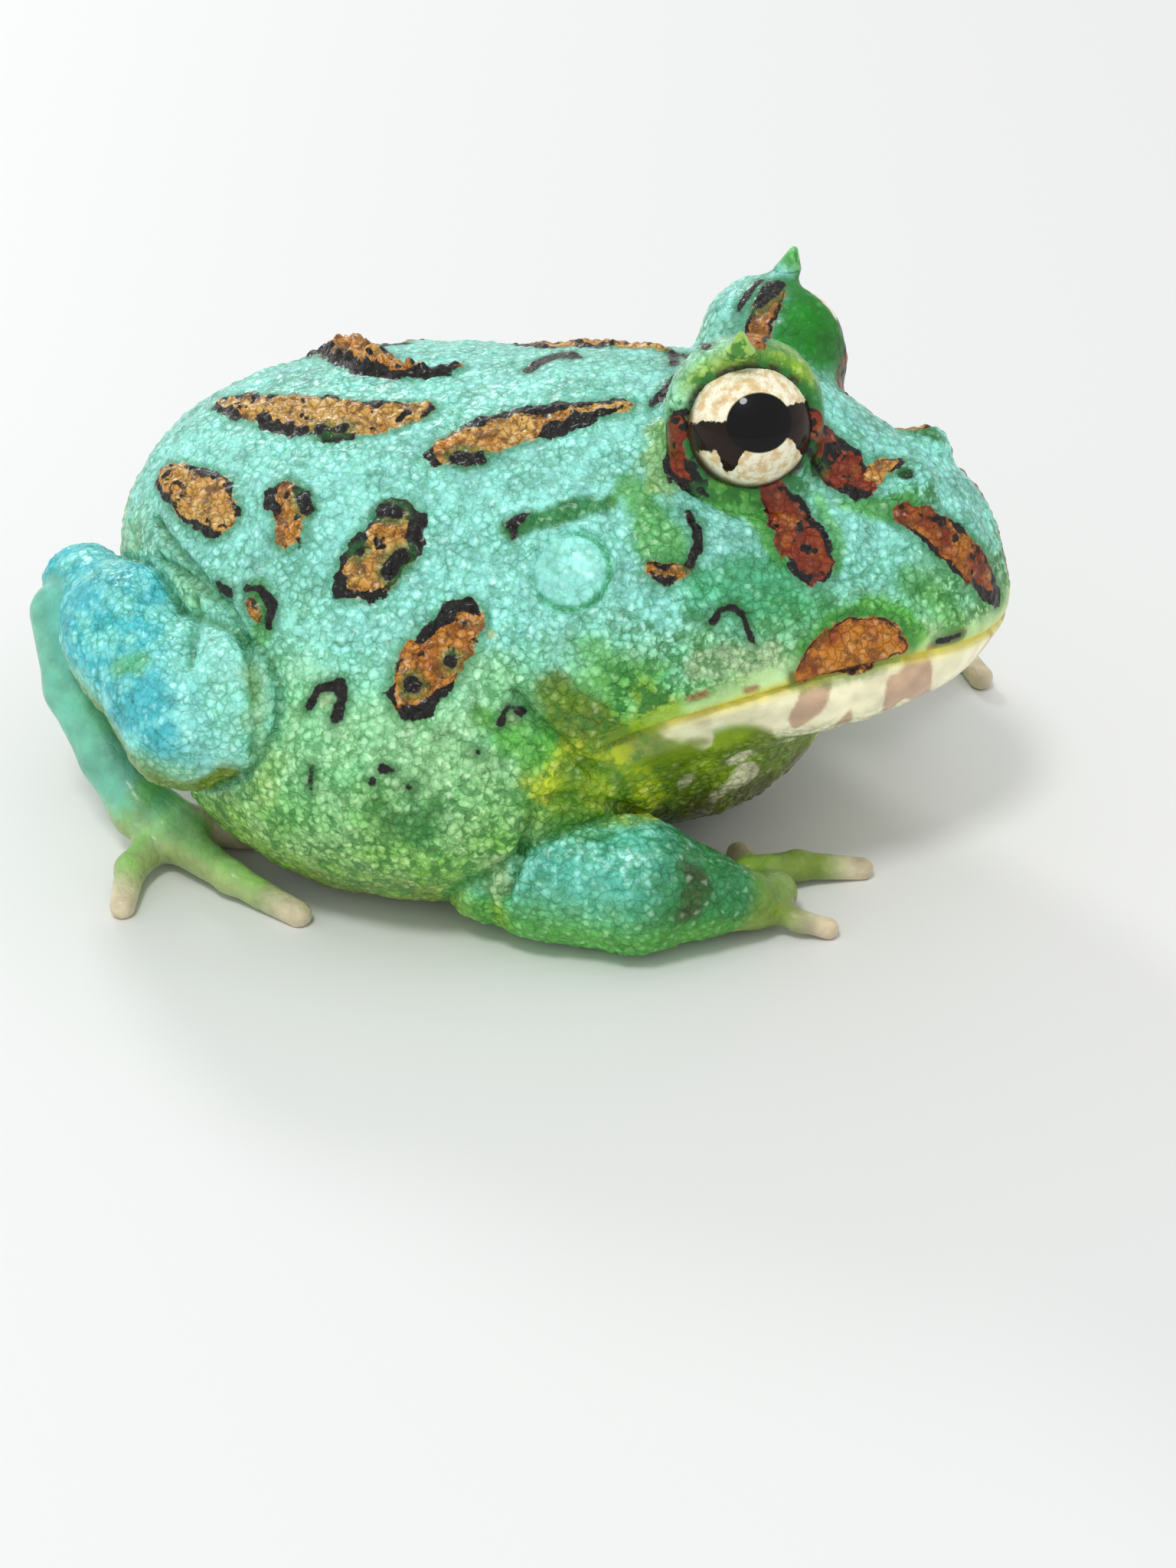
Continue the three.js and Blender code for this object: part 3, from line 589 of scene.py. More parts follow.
DARK_LINES = {
    "behind_lid": [(925, 454, 0.2), (895, 464, 0.3), (879, 461, 0.35), (880, 476, 0.3)],
    "cheek_edge": [(898, 672, 0.2), (910, 690, 0.25), (911, 715, 0.3), (900, 738, 0.2)],
    "cheek_ring": [(931, 812, 0.25), (940, 796, 0.1), (958, 792, 0.22), (970, 803, 0.15),
        (977, 822, 0.12), (984, 838, 0.1)],
    "far_dome_top": [(1014, 372, 0.45), (1002, 384, 0.5), (992, 400, 0.3)],
    "lid_front": [(1050, 560, 0.2), (1056, 590, 0.25), (1070, 612, 0.2)],
    "snout_dash": [(1225, 838, 0.15), (1253, 830, 0.12)],
    "shoulder_corner": [(690, 672, 0.15), (668, 684, 0.3), (672, 700, 0.2)],
    "low_ring": [(404, 922, 0.25), (415, 900, 0.15), (444, 893, 0.4), (449, 912, 0.3), (440, 936, 0.35)],
    "groin_specks": [(286, 764, 0.25), (302, 776, 0.25)],
    "groin_ring": [(322, 768, 0.2), (340, 770, 0.2), (356, 790, 0.3), (352, 818, 0.25)],
    "under_eye_corner": [(915, 640, 0.15), (925, 648, 0.12)],
    "back_speck": [(690, 484, 0.3), (712, 470, 0.55), (735, 463, 0.6), (752, 467, 0.4)],
    "shoulder_spot": [(654, 944, 0.2), (664, 922, 0.12), (682, 930, 0.2)],
    "flank_spot_a": [(501, 1004, 0.25), (512, 1006, 0.15)],
    "flank_spot_b": [(486, 1021, 0.22)],
    "flank_spot_c": [(407, 1002, 0.15), (405, 1030, 0.12)],
    "flank_spot_d": [(624, 982, 0.2)],
    "flank_spot_e": [(535, 1028, 0.15)],
    "low_island": [(591, 863, 0.4)],
    "low_island_b": [(540, 895, 0.5)],
    "mid_island": [(525, 728, 0.55), (508, 748, 0.4)],
    "mid_island_b": [(470, 722, 0.35)],
    "top_island": [(500, 668, 0.5), (520, 672, 0.45)],
    "small_island": [(398, 650, 0.4), (402, 668, 0.3)],
    "back_island": [(420, 565, 0.35), (452, 562, 0.25)],
    "back_island_b": [(600, 600, 0.5), (628, 600, 0.4)],
}
# painted patches: a colour, a strength, a softness in millimetres and a row
PATCHES = {
    "above_ear": (MOSS, 0.9, 0.5, [(664, 692, 0.4), (700, 682, 0.6), (740, 668, 0.7), (795, 658, 0.5)]),
    "before_ear": (LEAF, 0.8, 1.0, [(822, 640, 0.7), (845, 672, 1), (858, 704, 1.2), (880, 712, 1)]),
    "behind_lid": (LIME, 0.6, 0.8, [(862, 560, 0.5), (858, 600, 0.8), (868, 630, 0.7)]),
    "under_eye": (LEAF, 0.9, 0.5, [(918, 640, 0.4), (950, 648, 0.8), (982, 660, 0.9), (1003, 690, 0.6),
        (1020, 735, 0.4)]),
    "beside_stripe": (LEAF, 0.7, 0.5, [(1068, 650, 0.4), (1090, 700, 0.3), (1092, 740, 0.3)]),
    "below_nostril": (LEAF, 0.8, 0.6, [(1105, 660, 0.4), (1150, 668, 0.5), (1190, 655, 0.4)]),
    "snout_top": (MOSS, 0.85, 0.4, [(1180, 556, 0.2), (1200, 562, 0.4), (1226, 574, 0.3)]),
    "snout_side": (LEAF, 0.6, 0.9, [(1190, 760, 0.6), (1230, 790, 0.8), (1250, 812, 0.5)]),
    "over_lip_mark": (LEAF, 0.9, 0.6, [(1050, 850, 0.3), (1085, 815, 0.5), (1130, 796, 0.6),
        (1175, 800, 0.6), (1198, 828, 0.5)]),
    "front_lid": (MOSS, 0.7, 0.3, [(1058, 512, 0.2), (1068, 524, 0.3)]),
    "lower_cheek": (LEAF, 0.65, 1.1, [(772, 840, 0.6), (792, 872, 0.9), (815, 895, 0.8), (860, 880, 0.5)]),
    "jaw_corner": (OLIVE, 0.9, 1.0, [(722, 905, 0.8), (770, 950, 1.8), (815, 985, 2.2), (880, 990, 1.6)]),
    "corner_glow": (LIME, 0.75, 0.8, [(838, 905, 0.6), (866, 925, 0.8), (840, 945, 0.8)]),
    "over_lip": (PALE_GREEN, 0.8, 0.7, [(905, 872, 0.5), (960, 862, 0.6), (1015, 855, 0.6)]),
    "lip_fleck_a": (RUST, 0.8, 0.25, [(900, 913, 0.15), (922, 905, 0.2)]),
    "lip_fleck_b": (RUST, 0.8, 0.25, [(975, 902, 0.2), (988, 898, 0.2)]),
    "lip_fleck_c": (RUST, 0.9, 0.25, [(1036, 884, 0.3), (1048, 888, 0.3)]),
    "snout_fleck": (RUST, 0.7, 0.25, [(1215, 845, 0.15), (1258, 828, 0.2)]),
    # the chest's own yellow-green, made brighter as painted light against the shade under the jaw
    "chest": (LIME_WITH_PAINTED_LIGHT, 0.9, 1.2, [(705, 1035, 0.6), (745, 1010, 1.6), (790, 1025, 1.9),
        (840, 1050, 1.2)]),
    "mid_cheek": (SEA, 0.85, 1.3, [(905, 770, 0.8), (960, 770, 1.4), (1010, 775, 1.4), (1050, 790, 0.8)]),
    "elbow_top": (PALE_GREEN, 0.7, 0.7, [(655, 1120, 0.5), (650, 1160, 0.6)]),
    "shoulder": (LEAF, 0.8, 0.9, [(640, 940, 0.5), (668, 965, 0.9), (700, 985, 0.9)]),
    "low_flank": (MOSS, 0.75, 1.1, [(488, 1040, 0.3), (505, 1070, 0.7), (545, 1085, 0.7),
        (560, 1050, 0.3)]),
    "rear_edge": (LIME, 0.3, 1.2, [(332, 880, 0.4), (340, 960, 0.6), (352, 1040, 0.6)]),
    "groin": (LEAF, 0.7, 0.5, [(338, 770, 0.4), (345, 830, 0.5)]),
    "white_spot": (PALE_GREEN, 0.9, 0.15, [(642, 829, 0.3)]),
    "shoulder_spot": (PALE_GREEN, 0.9, 0.2, [(668, 936, 0.3)]),
    "low_ring": (PALE_GREEN, 0.7, 0.3, [(424, 912, 0.6)]),
    "leg": (LEAF, 0.6, 0.8, [(150, 872, 0.4), (185, 865, 0.5)]),
    "wrist": (UMBER, 0.75, 0.6, [(893, 1128, 0.3), (912, 1160, 0.8), (895, 1190, 0.5)]),
    "arm_speck": (MOSS, 0.6, 0.4, [(760, 1096, 0.3), (800, 1090, 0.2)]),
}
# folds: creases sunk into the relief, with painted shade along them
FOLDS = {
    "throat_edge": [(672, 905, 0.05), (720, 958, 0.15), (775, 1008, 0.15), (828, 1060, 0.1)],
    "chest_fold": [(690, 1052, 0.1), (735, 1042, 0.15), (790, 1048, 0.15), (832, 1062, 0.1)],
    "elbow": [(697, 1060, 0.1), (686, 1100, 0.15), (672, 1140, 0.1), (660, 1172, 0.05)],
    "thigh": [(207, 728, 0.05), (253, 757, 0.12), (297, 793, 0.15), (323, 847, 0.15), (333, 903, 0.15),
        (331, 985, 0.1)],
    "knee": [(257, 785, 0.05), (252, 830, 0.12), (247, 872, 0.05)],
    "hip": [(203, 676, 0.05), (240, 728, 0.1), (280, 770, 0.05)],
}


def traced(rows):
    """The rows of marks with their pixels found on the skin."""
    spots = iter(spots_on_skin([(px, py) for row in rows.values() for px, py, _ in row]))
    return {name: [(next(spots), half) for _, _, half in row] for name, row in rows.items()}


def reach_to(p, row):
    """Distance from each point to the edge of a mark, negative inside it."""
    d = np.full(len(p), FAR_AWAY)
    middle = np.mean([spot for spot, _ in row], 0)
    extent = max(np.linalg.norm(spot - middle) + half for spot, half in row)
    near = away(p, middle) < extent + 5
    q = p[near]
    best = d[near]
    for (a, ra), (b, rb) in list(zip(row, row[1:])) or [(row[0], row[0])]:
        ab = b - a
        t = np.clip((q - a) @ ab / max(ab @ ab, 1e-9), 0, 1)
        best = np.minimum(best, away(q, a + t[:, None] * ab) - ra - t * (rb - ra))
    d[near] = best
    return d


def both_sides(rows, only_seen=()):
    """The marks as seen, and their mirror images, moved a little, for the side that the photograph hides."""
    out = []
    for name, row in rows.items():
        out.append((name, row))
        if name in only_seen:
            continue
        first = row[0][0]
        lean = 0.8 * math.sin(7.0 * first[0] + first[2])
        shift = (lean, 0, 0.4 * lean)
        out.append((name, [(spot * (1, -1, 1) + shift, half * (1 + 0.1 * lean)) for spot, half in row]))
    return out


blotch_rows = traced({name: row for name, (*_, row) in BLOTCHES.items()})
blotches = both_sides(blotch_rows, {"far_rear_back", "near_rear_back", "far_dome"})
dark_lines = both_sides(traced(DARK_LINES), {"back_speck"})
folds = both_sides(traced(FOLDS))
patches = both_sides(traced({name: row for name, (*_, row) in PATCHES.items()}), {"snout_top"})


def mouth_level(x):
    """The height of the mouth line: a curve through its corner, middle and front."""
    return np.polyval(np.polyfit(*zip(MOUTH_CORNER, MOUTH_MIDDLE, MOUTH_FRONT), 2), x)


# the points of the skin and both horns, in one list, so that relief and paint run on across them
points, quads = skin_mesh(skin_alone, *SKIN_ROOM, SKIN_STEP)
pieces = {"skin": (settled(skin_alone, points), quads)}
for side_name, tip in HORNS.items():
    points, quads = skin_mesh(horn_alone(tip), tip - (3, 3, 2), tip + (3, 3, 1.5), HORN_STEP, 4)
    pieces["eyelid_horn_" + side_name] = (settled(horn_alone(tip), points), quads)
points = np.concatenate([spots for spots, _ in pieces.values()])
normals, _ = slope(flesh, points)
normals /= np.linalg.norm(normals, axis=1)[:, None]
x, y, z = points.T
up = normals[:, 2]

# zones
limb_reach = {(side, part): form.at(points) for side, parts in limbs.items() for part, form in parts.items()}
nearest_limb = np.min(list(limb_reach.values()), 0)
past_junction = nearest_limb - trunk.at(points)
on_trunk = ramp(past_junction, -0.4, 0.8)


def closeness(*parts):
    return fade(np.min([limb_reach[(side, part)] for side in limbs for part in parts], 0), 0.2, 1.2)


def nearest_of(members):
    return np.min([limb(*member).at(points) for member in members], 0)


on_digits = closeness("hand", "foot")
on_shank, on_thigh, on_forearm, on_arm = [
    closeness(part) * (1 - on_trunk) for part in ("shank", "thigh", "forearm", "upper_arm")]
on_tarsus = fade(nearest_of([bones["tarsus"] for bones in (RIGHT, LEFT)]), 0.2, 0.9)
digits = [digit for bones in (RIGHT, LEFT) for digit in bones["fingers"] + bones["toes"]]
tip_reach = np.min([away(points, digit[-1][0]) for digit in digits], 0)
inner_toes = nearest_of([toe for bones in (RIGHT, LEFT) for toe in bones["toes"][2:4]])
over_mouth = z - mouth_level(x)
before_neck = ramp(x, MOUTH_CORNER[0] - 1.5, MOUTH_CORNER[0] + 0.5)
on_head = before_neck * on_trunk
on_back = ramp(up, 0.1, 0.7) * on_trunk * fade(x, 14, 20)
on_flank = on_trunk * fade(x, 14, 17)
side_on = fade(np.abs(up), 0.35, 0.8)
junction = bell(past_junction, 0.32) * ramp(z, 1.5, 3)
eye_reach = np.min([away(points, centre) for centre, _ in EYES.values()], 0)
on_horn = fade(np.min([away(points, tip) for tip in HORNS.values()], 0), 1.0, 2.2)

# marks
blotch = np.full(len(points), FAR_AWAY)
heat = np.zeros(len(points))
rimmed = np.zeros(len(points))
for name, row in blotches:
    d = reach_to(points, row)
    warmth, rim_strength, _ = BLOTCHES[name]
    heat = np.where(d < blotch, warmth, heat)
    rimmed = np.where(d < blotch, rim_strength, rimmed)
    blotch = np.minimum(blotch, d)
dark = np.min([reach_to(points, row) for _, row in dark_lines], 0)
fold = np.min([reach_to(points, row) for _, row in folds], 0)
rough_spots = fade(blotch, -0.6, 0.2)

# relief: pebbles everywhere, warts on the back and the blotches, smooth lips, lids and toes
lip_zone = on_head * ramp(over_mouth, -4.5, -2.5) * fade(over_mouth, 0.6, 2.2)
lid_zone = fade(eye_reach, EYE_RADIUS + 0.3, EYE_RADIUS + 2.0)
smooth_skin = np.clip(np.maximum.reduce([on_digits * 0.85, lip_zone, lid_zone * 0.6, on_horn]), 0, 1)
rough_skin = 1 - smooth_skin
first, second, pebble_name = pebbles(points, PEBBLE, 3)
pebble = (second - first) * (0.6 + 0.8 * pebble_name)
wart_first, _, wart_name = pebbles(points, WART, 11)
wart = np.maximum(1 - (wart_first / 0.42)**2, 0) * ramp(wart_name, 0.45, 0.75)
lump_first, _, _ = pebbles(points, LUMP, 23)
lump = np.maximum(1 - (lump_first / 0.62)**2, 0)
relief = rough_skin * (PEBBLE_HEIGHT * np.minimum(pebble, 0.8) + WART_HEIGHT * wart * (0.35 + 0.65 * on_back))
relief += rough_spots * (lump * (0.1 + 0.24 * on_back) * rough_skin + 0.08 * on_back)
relief += fade(reach_to(points, blotch_rows["far_rear_back"]), -1.2, 0.4) * (0.45 + 0.45 * lump)
relief += SWELL_HEIGHT * (rolling(points, SWELL, 5) - 0.5) * rough_skin * (1 - 0.5 * on_back)
relief -= JUNCTION_DEPTH * junction
relief -= MOUTH_DEPTH * on_head * bell(over_mouth, 0.22)
relief -= FOLD_DEPTH * bell(np.maximum(fold, 0), 0.22) - 0.12 * bell(fold - 0.75, 0.4)
nostril_shade = np.zeros(len(points))
ear_groove_shade = np.zeros(len(points))
for side in (-1, 1):
    q = points - on_side(side, EAR)
    out = q @ unit(on_side(side, EAR_FACES))
    past_ring = np.sqrt(np.maximum((q * q).sum(1) - out * out, 0)) - EAR_RADIUS
    here = np.abs(out) < 2.5
    relief += here * (0.16 * bell(past_ring - 0.5, 0.3) - EAR_RING_DEPTH * bell(past_ring, 0.22))
    lower_front = ramp(x - z + 0.4 * (x - EAR[0]), -19, -12)
    ear_groove_shade = np.maximum(ear_groove_shade, here * bell(past_ring, 0.2) * lower_front)
    disc = here * fade(past_ring, -0.3, 0)
    relief *= 1 - 0.7 * disc
    smooth_skin = np.maximum(smooth_skin, disc * 0.6)
    pit = away(points, on_side(side, NOSTRIL_PIT), NOSTRIL_SIZE)
    relief -= NOSTRIL_DEPTH * bell(pit, 1)
    nostril_shade = np.maximum(nostril_shade, fade(pit, 0.8, 1.25))
skin_points = points + normals * relief[:, None]
skin_points[:, 2] = np.maximum(skin_points[:, 2], BELLY_LEVEL)

# paint, one coat over another
tone = np.tile(MINT, (len(points), 1))


def paint(colour, weight):
    global tone
    weight = np.clip(weight, 0, 1)[:, None]
    tone = tone * (1 - weight) + weight * colour


def near_place(place, inner, outer, stretch=1):
    """One at a place, fading to nothing at the outer distance."""
    return fade(away(points, place, stretch), inner, outer)


patchy = rolling(points, 3.0, 31) - 0.5
fine_patchy = rolling(points, 1.2, 37) - 0.5
mottle = rolling(points, 0.7, 39) - 0.5
height = z + 4 * patchy
fine_height = height + 3 * fine_patchy
paint(SEA, side_on * ramp(fine_patchy + 0.6 * patchy, 0, 0.3) * 0.5)
paint(TURQUOISE, ramp(height, 14, 21) * ramp(up + 0.4 * patchy, 0, 0.6))
paint(LEAF, fade(height, 6, 14) * on_flank * (0.35 + 0.9 * np.maximum(fine_patchy, -0.3)))
paint(LIME, fade(fine_height, 4, 17) * on_flank * 0.5)
paint(PALE_OLIVE, fade(fine_height, 1, 6.5) * on_flank * 0.75)
paint(OLIVE, on_trunk * ramp(-up, 0.25, 0.8) * 0.6)
behind_jaw = [near_place(on_side(s, BEHIND_JAW), 1, 5.5, (1, 1.5, 1)) for s in (-1, 1)]
paint(LEAF, behind_jaw[0] * (0.7 + fine_patchy) + behind_jaw[1] * 0.7)
# legs and arms
paint(BLUE, on_shank * ramp(up, -0.45, 0.2))
paint(TURQUOISE, on_shank * ramp(mottle + fine_patchy, -0.1, 0.35) * 0.55)
paint(TURQUOISE, on_thigh * 0.8)
paint(OLIVE, (on_shank + on_thigh) * ramp(-up + 0.5 * patchy, 0.05, 0.55) * 0.9)
paint(TARSUS_GREEN, on_tarsus * ramp(z, 2, 5) * 0.9)
paint(OLIVE, on_tarsus * ramp(mottle + patchy, 0.1, 0.4) * fade(z, 4, 8) * 0.5)
paint(SEA, on_forearm * 0.7)
paint(BLUE, on_forearm * ramp(up + 0.5 * fine_patchy, -0.1, 0.6) * 0.45)
paint(TURQUOISE, on_forearm * ramp(mottle, -0.05, 0.3) * ramp(up, 0, 0.5) * 0.8)
paint(MOSS, on_forearm * ramp(x + 2 * fine_patchy, 14.5, 18.5) * 0.85)
paint(LEAF, (on_forearm + on_arm) * ramp(-up, -0.15, 0.45) * 0.85)
paint(TOE_OLIVE, on_digits * fade(z, 1.8, 4.5) * 0.9)
paint(LEAF, on_digits * ramp(up, 0.3, 0.9) * ramp(fine_patchy + patchy, -0.1, 0.3) * 0.4)
paint(OLIVE, on_digits * ramp(x, 14, 18) * 0.8)
paint(LIME, on_arm * ramp(-normals[:, 0], 0, 0.6) * 0.6)
for s in (-1, 1):
    paint(LIME, near_place(on_side(s, UPPER_ELBOW), 1, 4.2, (1.1, 1.2, 1)) * 0.85)
# head, domes of the eyes and horns
paint(TURQUOISE, ramp(x, 15, 22) * ramp(over_mouth, 3, 7) * ramp(0.5 - fine_patchy, 0.1, 0.6) * 0.7)
paint(LEAF, on_head * ramp(over_mouth, 0.6, 1.6) * fade(over_mouth + 4 * patchy, 2.5, 6) * 0.4)
left_dome = near_place(EYE_LEFT, EYE_RADIUS + 0.5, EYE_RADIUS + 2.2)
right_dome = near_place(EYE_RIGHT, EYE_RADIUS + 0.7, EYE_RADIUS + 1.8)
paint(DOME_GREEN, left_dome * ramp(x + 1.2 * mottle, 17.3, 18.4) * ramp(z, 28.5, 31))
paint(MOSS, right_dome * ramp(x, 18, 20) * ramp(z, 30, 33) * ramp(y, -8.5, -5.5) * 0.8)
paint(LIME, right_dome * ramp(z, 32, 34) * 0.8)
paint(LIME, near_place(HORN_RIGHT, 1, 2.6) * 0.8)
paint(LEAF, near_place(HORN_LEFT, 0.6, 1.8) * 0.8)
# throat, with painted shade low on it, lips and the ring round each eye
throat = ramp(x + 0.35 * (z - 12), 7.5, 10.5) * on_trunk * ramp(-over_mouth, 0.6, 2.4)
paint(OLIVE, throat)
paint(LIME, throat * ramp(rolling(points * (1, 1, 0.6), 1.8, 47), 0.45, 0.7) * 0.5)
white_reach = 1.7 + 7 * ramp(x, 19, 29) + 1.6 * patchy
white_band = on_head * ramp(-over_mouth, -0.1, 0.25) * ramp(x, 12.5, 14.5)
white_band *= fade(-over_mouth - white_reach, -0.5, 0.6)
bars = ramp(rolling(points * (1, 1, 0.35), 1.3, 43), 0.6, 0.66)
paint(CREAM, white_band)
paint(CREAM, throat * ramp(rolling(points * (1, 1, 0.55), 1.5, 41), 0.56, 0.68) * ramp(x, 13, 19) * 0.85)
paint(PINK, white_band * bars * ramp(x, 17, 22) * 0.85)
# painted shade, darker towards the bottom of the throat
paint(SHADE_BROWN, throat * fade(z + 2 * fine_patchy, 5.5, 9) * 0.6)
above_lip = on_head * bell(over_mouth - 1.1, 1.1)
paint(LIME, above_lip * 0.45)
paint(CREAM, above_lip * ramp(x, 14, 22) * 0.25)
paint(YELLOW, on_head * bell(over_mouth - 0.12, 0.42))
paint(BLACKISH, 0.95 * fade(eye_reach, EYE_RADIUS + 0.2, EYE_RADIUS + 0.6))
# toe and finger tips
paint(TOE_CREAM, on_digits * fade(tip_reach, 0.8, 3.4) * 0.85)
paint(PINK, on_digits * fade(tip_reach, 0.5, 1.4) * 0.25)
paint(INNER_TOE_CREAM, on_digits * fade(inner_toes, 0.2, 0.6) * 0.75)
# painted shade in the folds, then patches, then the mottle over all
paint(MOSS, 0.6 * bell(np.maximum(fold, 0), 0.3))
for name, row in patches:
    colour, strength, softness, _ = PATCHES[name]
    ragged = reach_to(points, row) + 0.9 * softness * (fine_patchy + mottle)
    paint(colour, strength * fade(ragged, -0.3 * softness, softness))
tone *= (1 + 0.34 * fine_patchy + 0.22 * patchy + 0.34 * mottle)[:, None]
# painted shade in the nostrils' pits
paint(BLACKISH, nostril_shade)
# painted shade in the lower front of each ear's ring groove
paint(SEA, ear_groove_shade * 0.9)
# painted shade in the creases where the limbs join the trunk
paint(MOSS, junction * 0.75)
# how much dark green gathers in the hollows, and how strong the painted shade in the creases between pebbles
# is: least on the back, the snout and the legs
mossy = np.maximum.reduce([
    on_flank * (0.22 + 0.3 * fade(height, 8, 16) + 0.25 * side_on),
    on_head * ramp(over_mouth, 0.8, 2) * (0.35 + 0.6 * fade(up, 0.2, 0.7)),
    (on_forearm + on_arm) * 0.35,
])
mossy = np.clip(mossy * (1 - rough_spots), 0, 1)


def mesh_object(name, spots, faces, attributes):
    mesh = bpy.data.meshes.new(name)
    mesh.vertices.add(len(spots))
    mesh.vertices.foreach_set("co", ((spots + offset) * MM).astype(np.float32).ravel())
    sides = faces.shape[1]
    mesh.loops.add(faces.size)
    mesh.loops.foreach_set("vertex_index", faces.astype(np.int32).ravel())
    mesh.polygons.add(len(faces))
    mesh.polygons.foreach_set("loop_start", np.arange(0, faces.size, sides, dtype=np.int32))
    mesh.update(calc_edges=True)
    mesh.validate()
    for key, value in attributes.items():
        kind, field = ("FLOAT_VECTOR", "vector") if value.ndim == 2 else ("FLOAT", "value")
        mesh.attributes.new(key, kind, "POINT").data.foreach_set(field, value.astype(np.float32).ravel())
    mesh.shade_smooth()
    obj = bpy.data.objects.new(name, mesh)
    bpy.context.scene.collection.objects.link(obj)
    return obj


low_eye, high_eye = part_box("eye_right")
offset = np.add(low_eye, high_eye) / 2 / MM - EYE_RIGHT
looks = {
    "blotch": blotch, "warmth": heat, "rimmed": rimmed, "dark": dark, "mossy": mossy,
    "smooth_skin": smooth_skin, "tone": tone,
}
skin_parts = {}
start = 0
for name, (spots, quads) in pieces.items():
    here = slice(start, start + len(spots))
    start += len(spots)
    skin_parts[name] = mesh_object(name, skin_points[here], quads, {key: looks[key][here] for key in looks})


# materials
def operator(operation):
    return lambda value, *others: value.nodes.math(operation, value, *others)


class Value:
    """A node's output. Sums, products and so on of it are further nodes."""
    __add__ = operator("ADD")
    __sub__ = operator("SUBTRACT")
    __mul__ = operator("MULTIPLY")
    __truediv__ = operator("DIVIDE")
    __pow__ = operator("POWER")
    __abs__ = operator("ABSOLUTE")

    def __init__(self, nodes, socket):
        self.nodes = nodes
        self.socket = socket

    def __rsub__(self, other):
        return self.nodes.math("SUBTRACT", other, self)


class Nodes:
    """A short way to write a node tree."""
    def __init__(self, name):
        self.material = bpy.data.materials.new(name)
        self.material.use_nodes = True
        self.tree = self.material.node_tree
        self.tree.nodes.clear()
        self.shader = self.new("BsdfPrincipled")
        self.fill(self.new("OutputMaterial"), {0: self.output(self.shader, 0)})

    def new(self, kind, **settings):
        node = self.tree.nodes.new("ShaderNode" + kind)
        for key, value in settings.items():
            setattr(node, key, value)
        return node

    def output(self, node, key):
        return Value(self, node.outputs[key])

    def fill(self, node, inputs):
        for key, value in inputs.items():
            if isinstance(value, Value):
                self.tree.links.new(value.socket, node.inputs[key])
            else:
                node.inputs[key].default_value = value
        return node

    def attribute(self, name, output="Fac"):
        return self.output(self.new("Attribute", attribute_name=name), output)

    def math(self, operation, *values):
        return self.output(self.fill(self.new("Math", operation=operation), dict(enumerate(values))), 0)

    def between(self, value, low, high, start=0, end=1):
        """Start up to the low value, end past the high one, and a smooth change in between."""
        node = self.new("MapRange", interpolation_type="SMOOTHSTEP")
        return self.output(self.fill(node, dict(enumerate((value, low, high, start, end)))), 0)

    def mix(self, weight, a, b, kind="MIX"):
        node = self.new("Mix", data_type="RGBA", blend_type=kind)
        a, b = [(*colour, 1) if isinstance(colour, tuple) else colour for colour in (a, b)]
        return self.output(self.fill(node, {0: weight, 6: a, 7: b}), 2)

    def where(self):
        return self.output(self.new("TexCoord"), "Object")

    def noise(self, size_mm, detail=2, roughness=0.5, output="Fac"):
        node = self.fill(self.new("TexNoise"), {
            "Vector": self.where(), "Scale": 1 / (size_mm * MM), "Detail": detail, "Roughness": roughness})
        return self.output(node, output)

    def bent(self, by_mm):
        """Places pushed about by noise, so that what is drawn on them is uneven."""
        push = self.new("VectorMath", operation="MULTIPLY_ADD")
        self.fill(push, {0: self.noise(BEND_SIZE, output="Color"), 1: [by_mm * MM] * 3, 2: self.where()})
        return self.output(push, 0)

    def voronoi(self, size_mm, feature="F1", output="Distance", bend=0):
        place = self.bent(bend) if bend else self.where()
        node = self.new("TexVoronoi", feature=feature)
        return self.output(self.fill(node, {"Vector": place, "Scale": 1 / (size_mm * MM)}), output)

    def bump(self, height, distance_mm, **under):
        inputs = {"Strength": 1, "Distance": distance_mm * MM, "Height": height, **under}
        return self.output(self.fill(self.new("Bump"), inputs), 0)


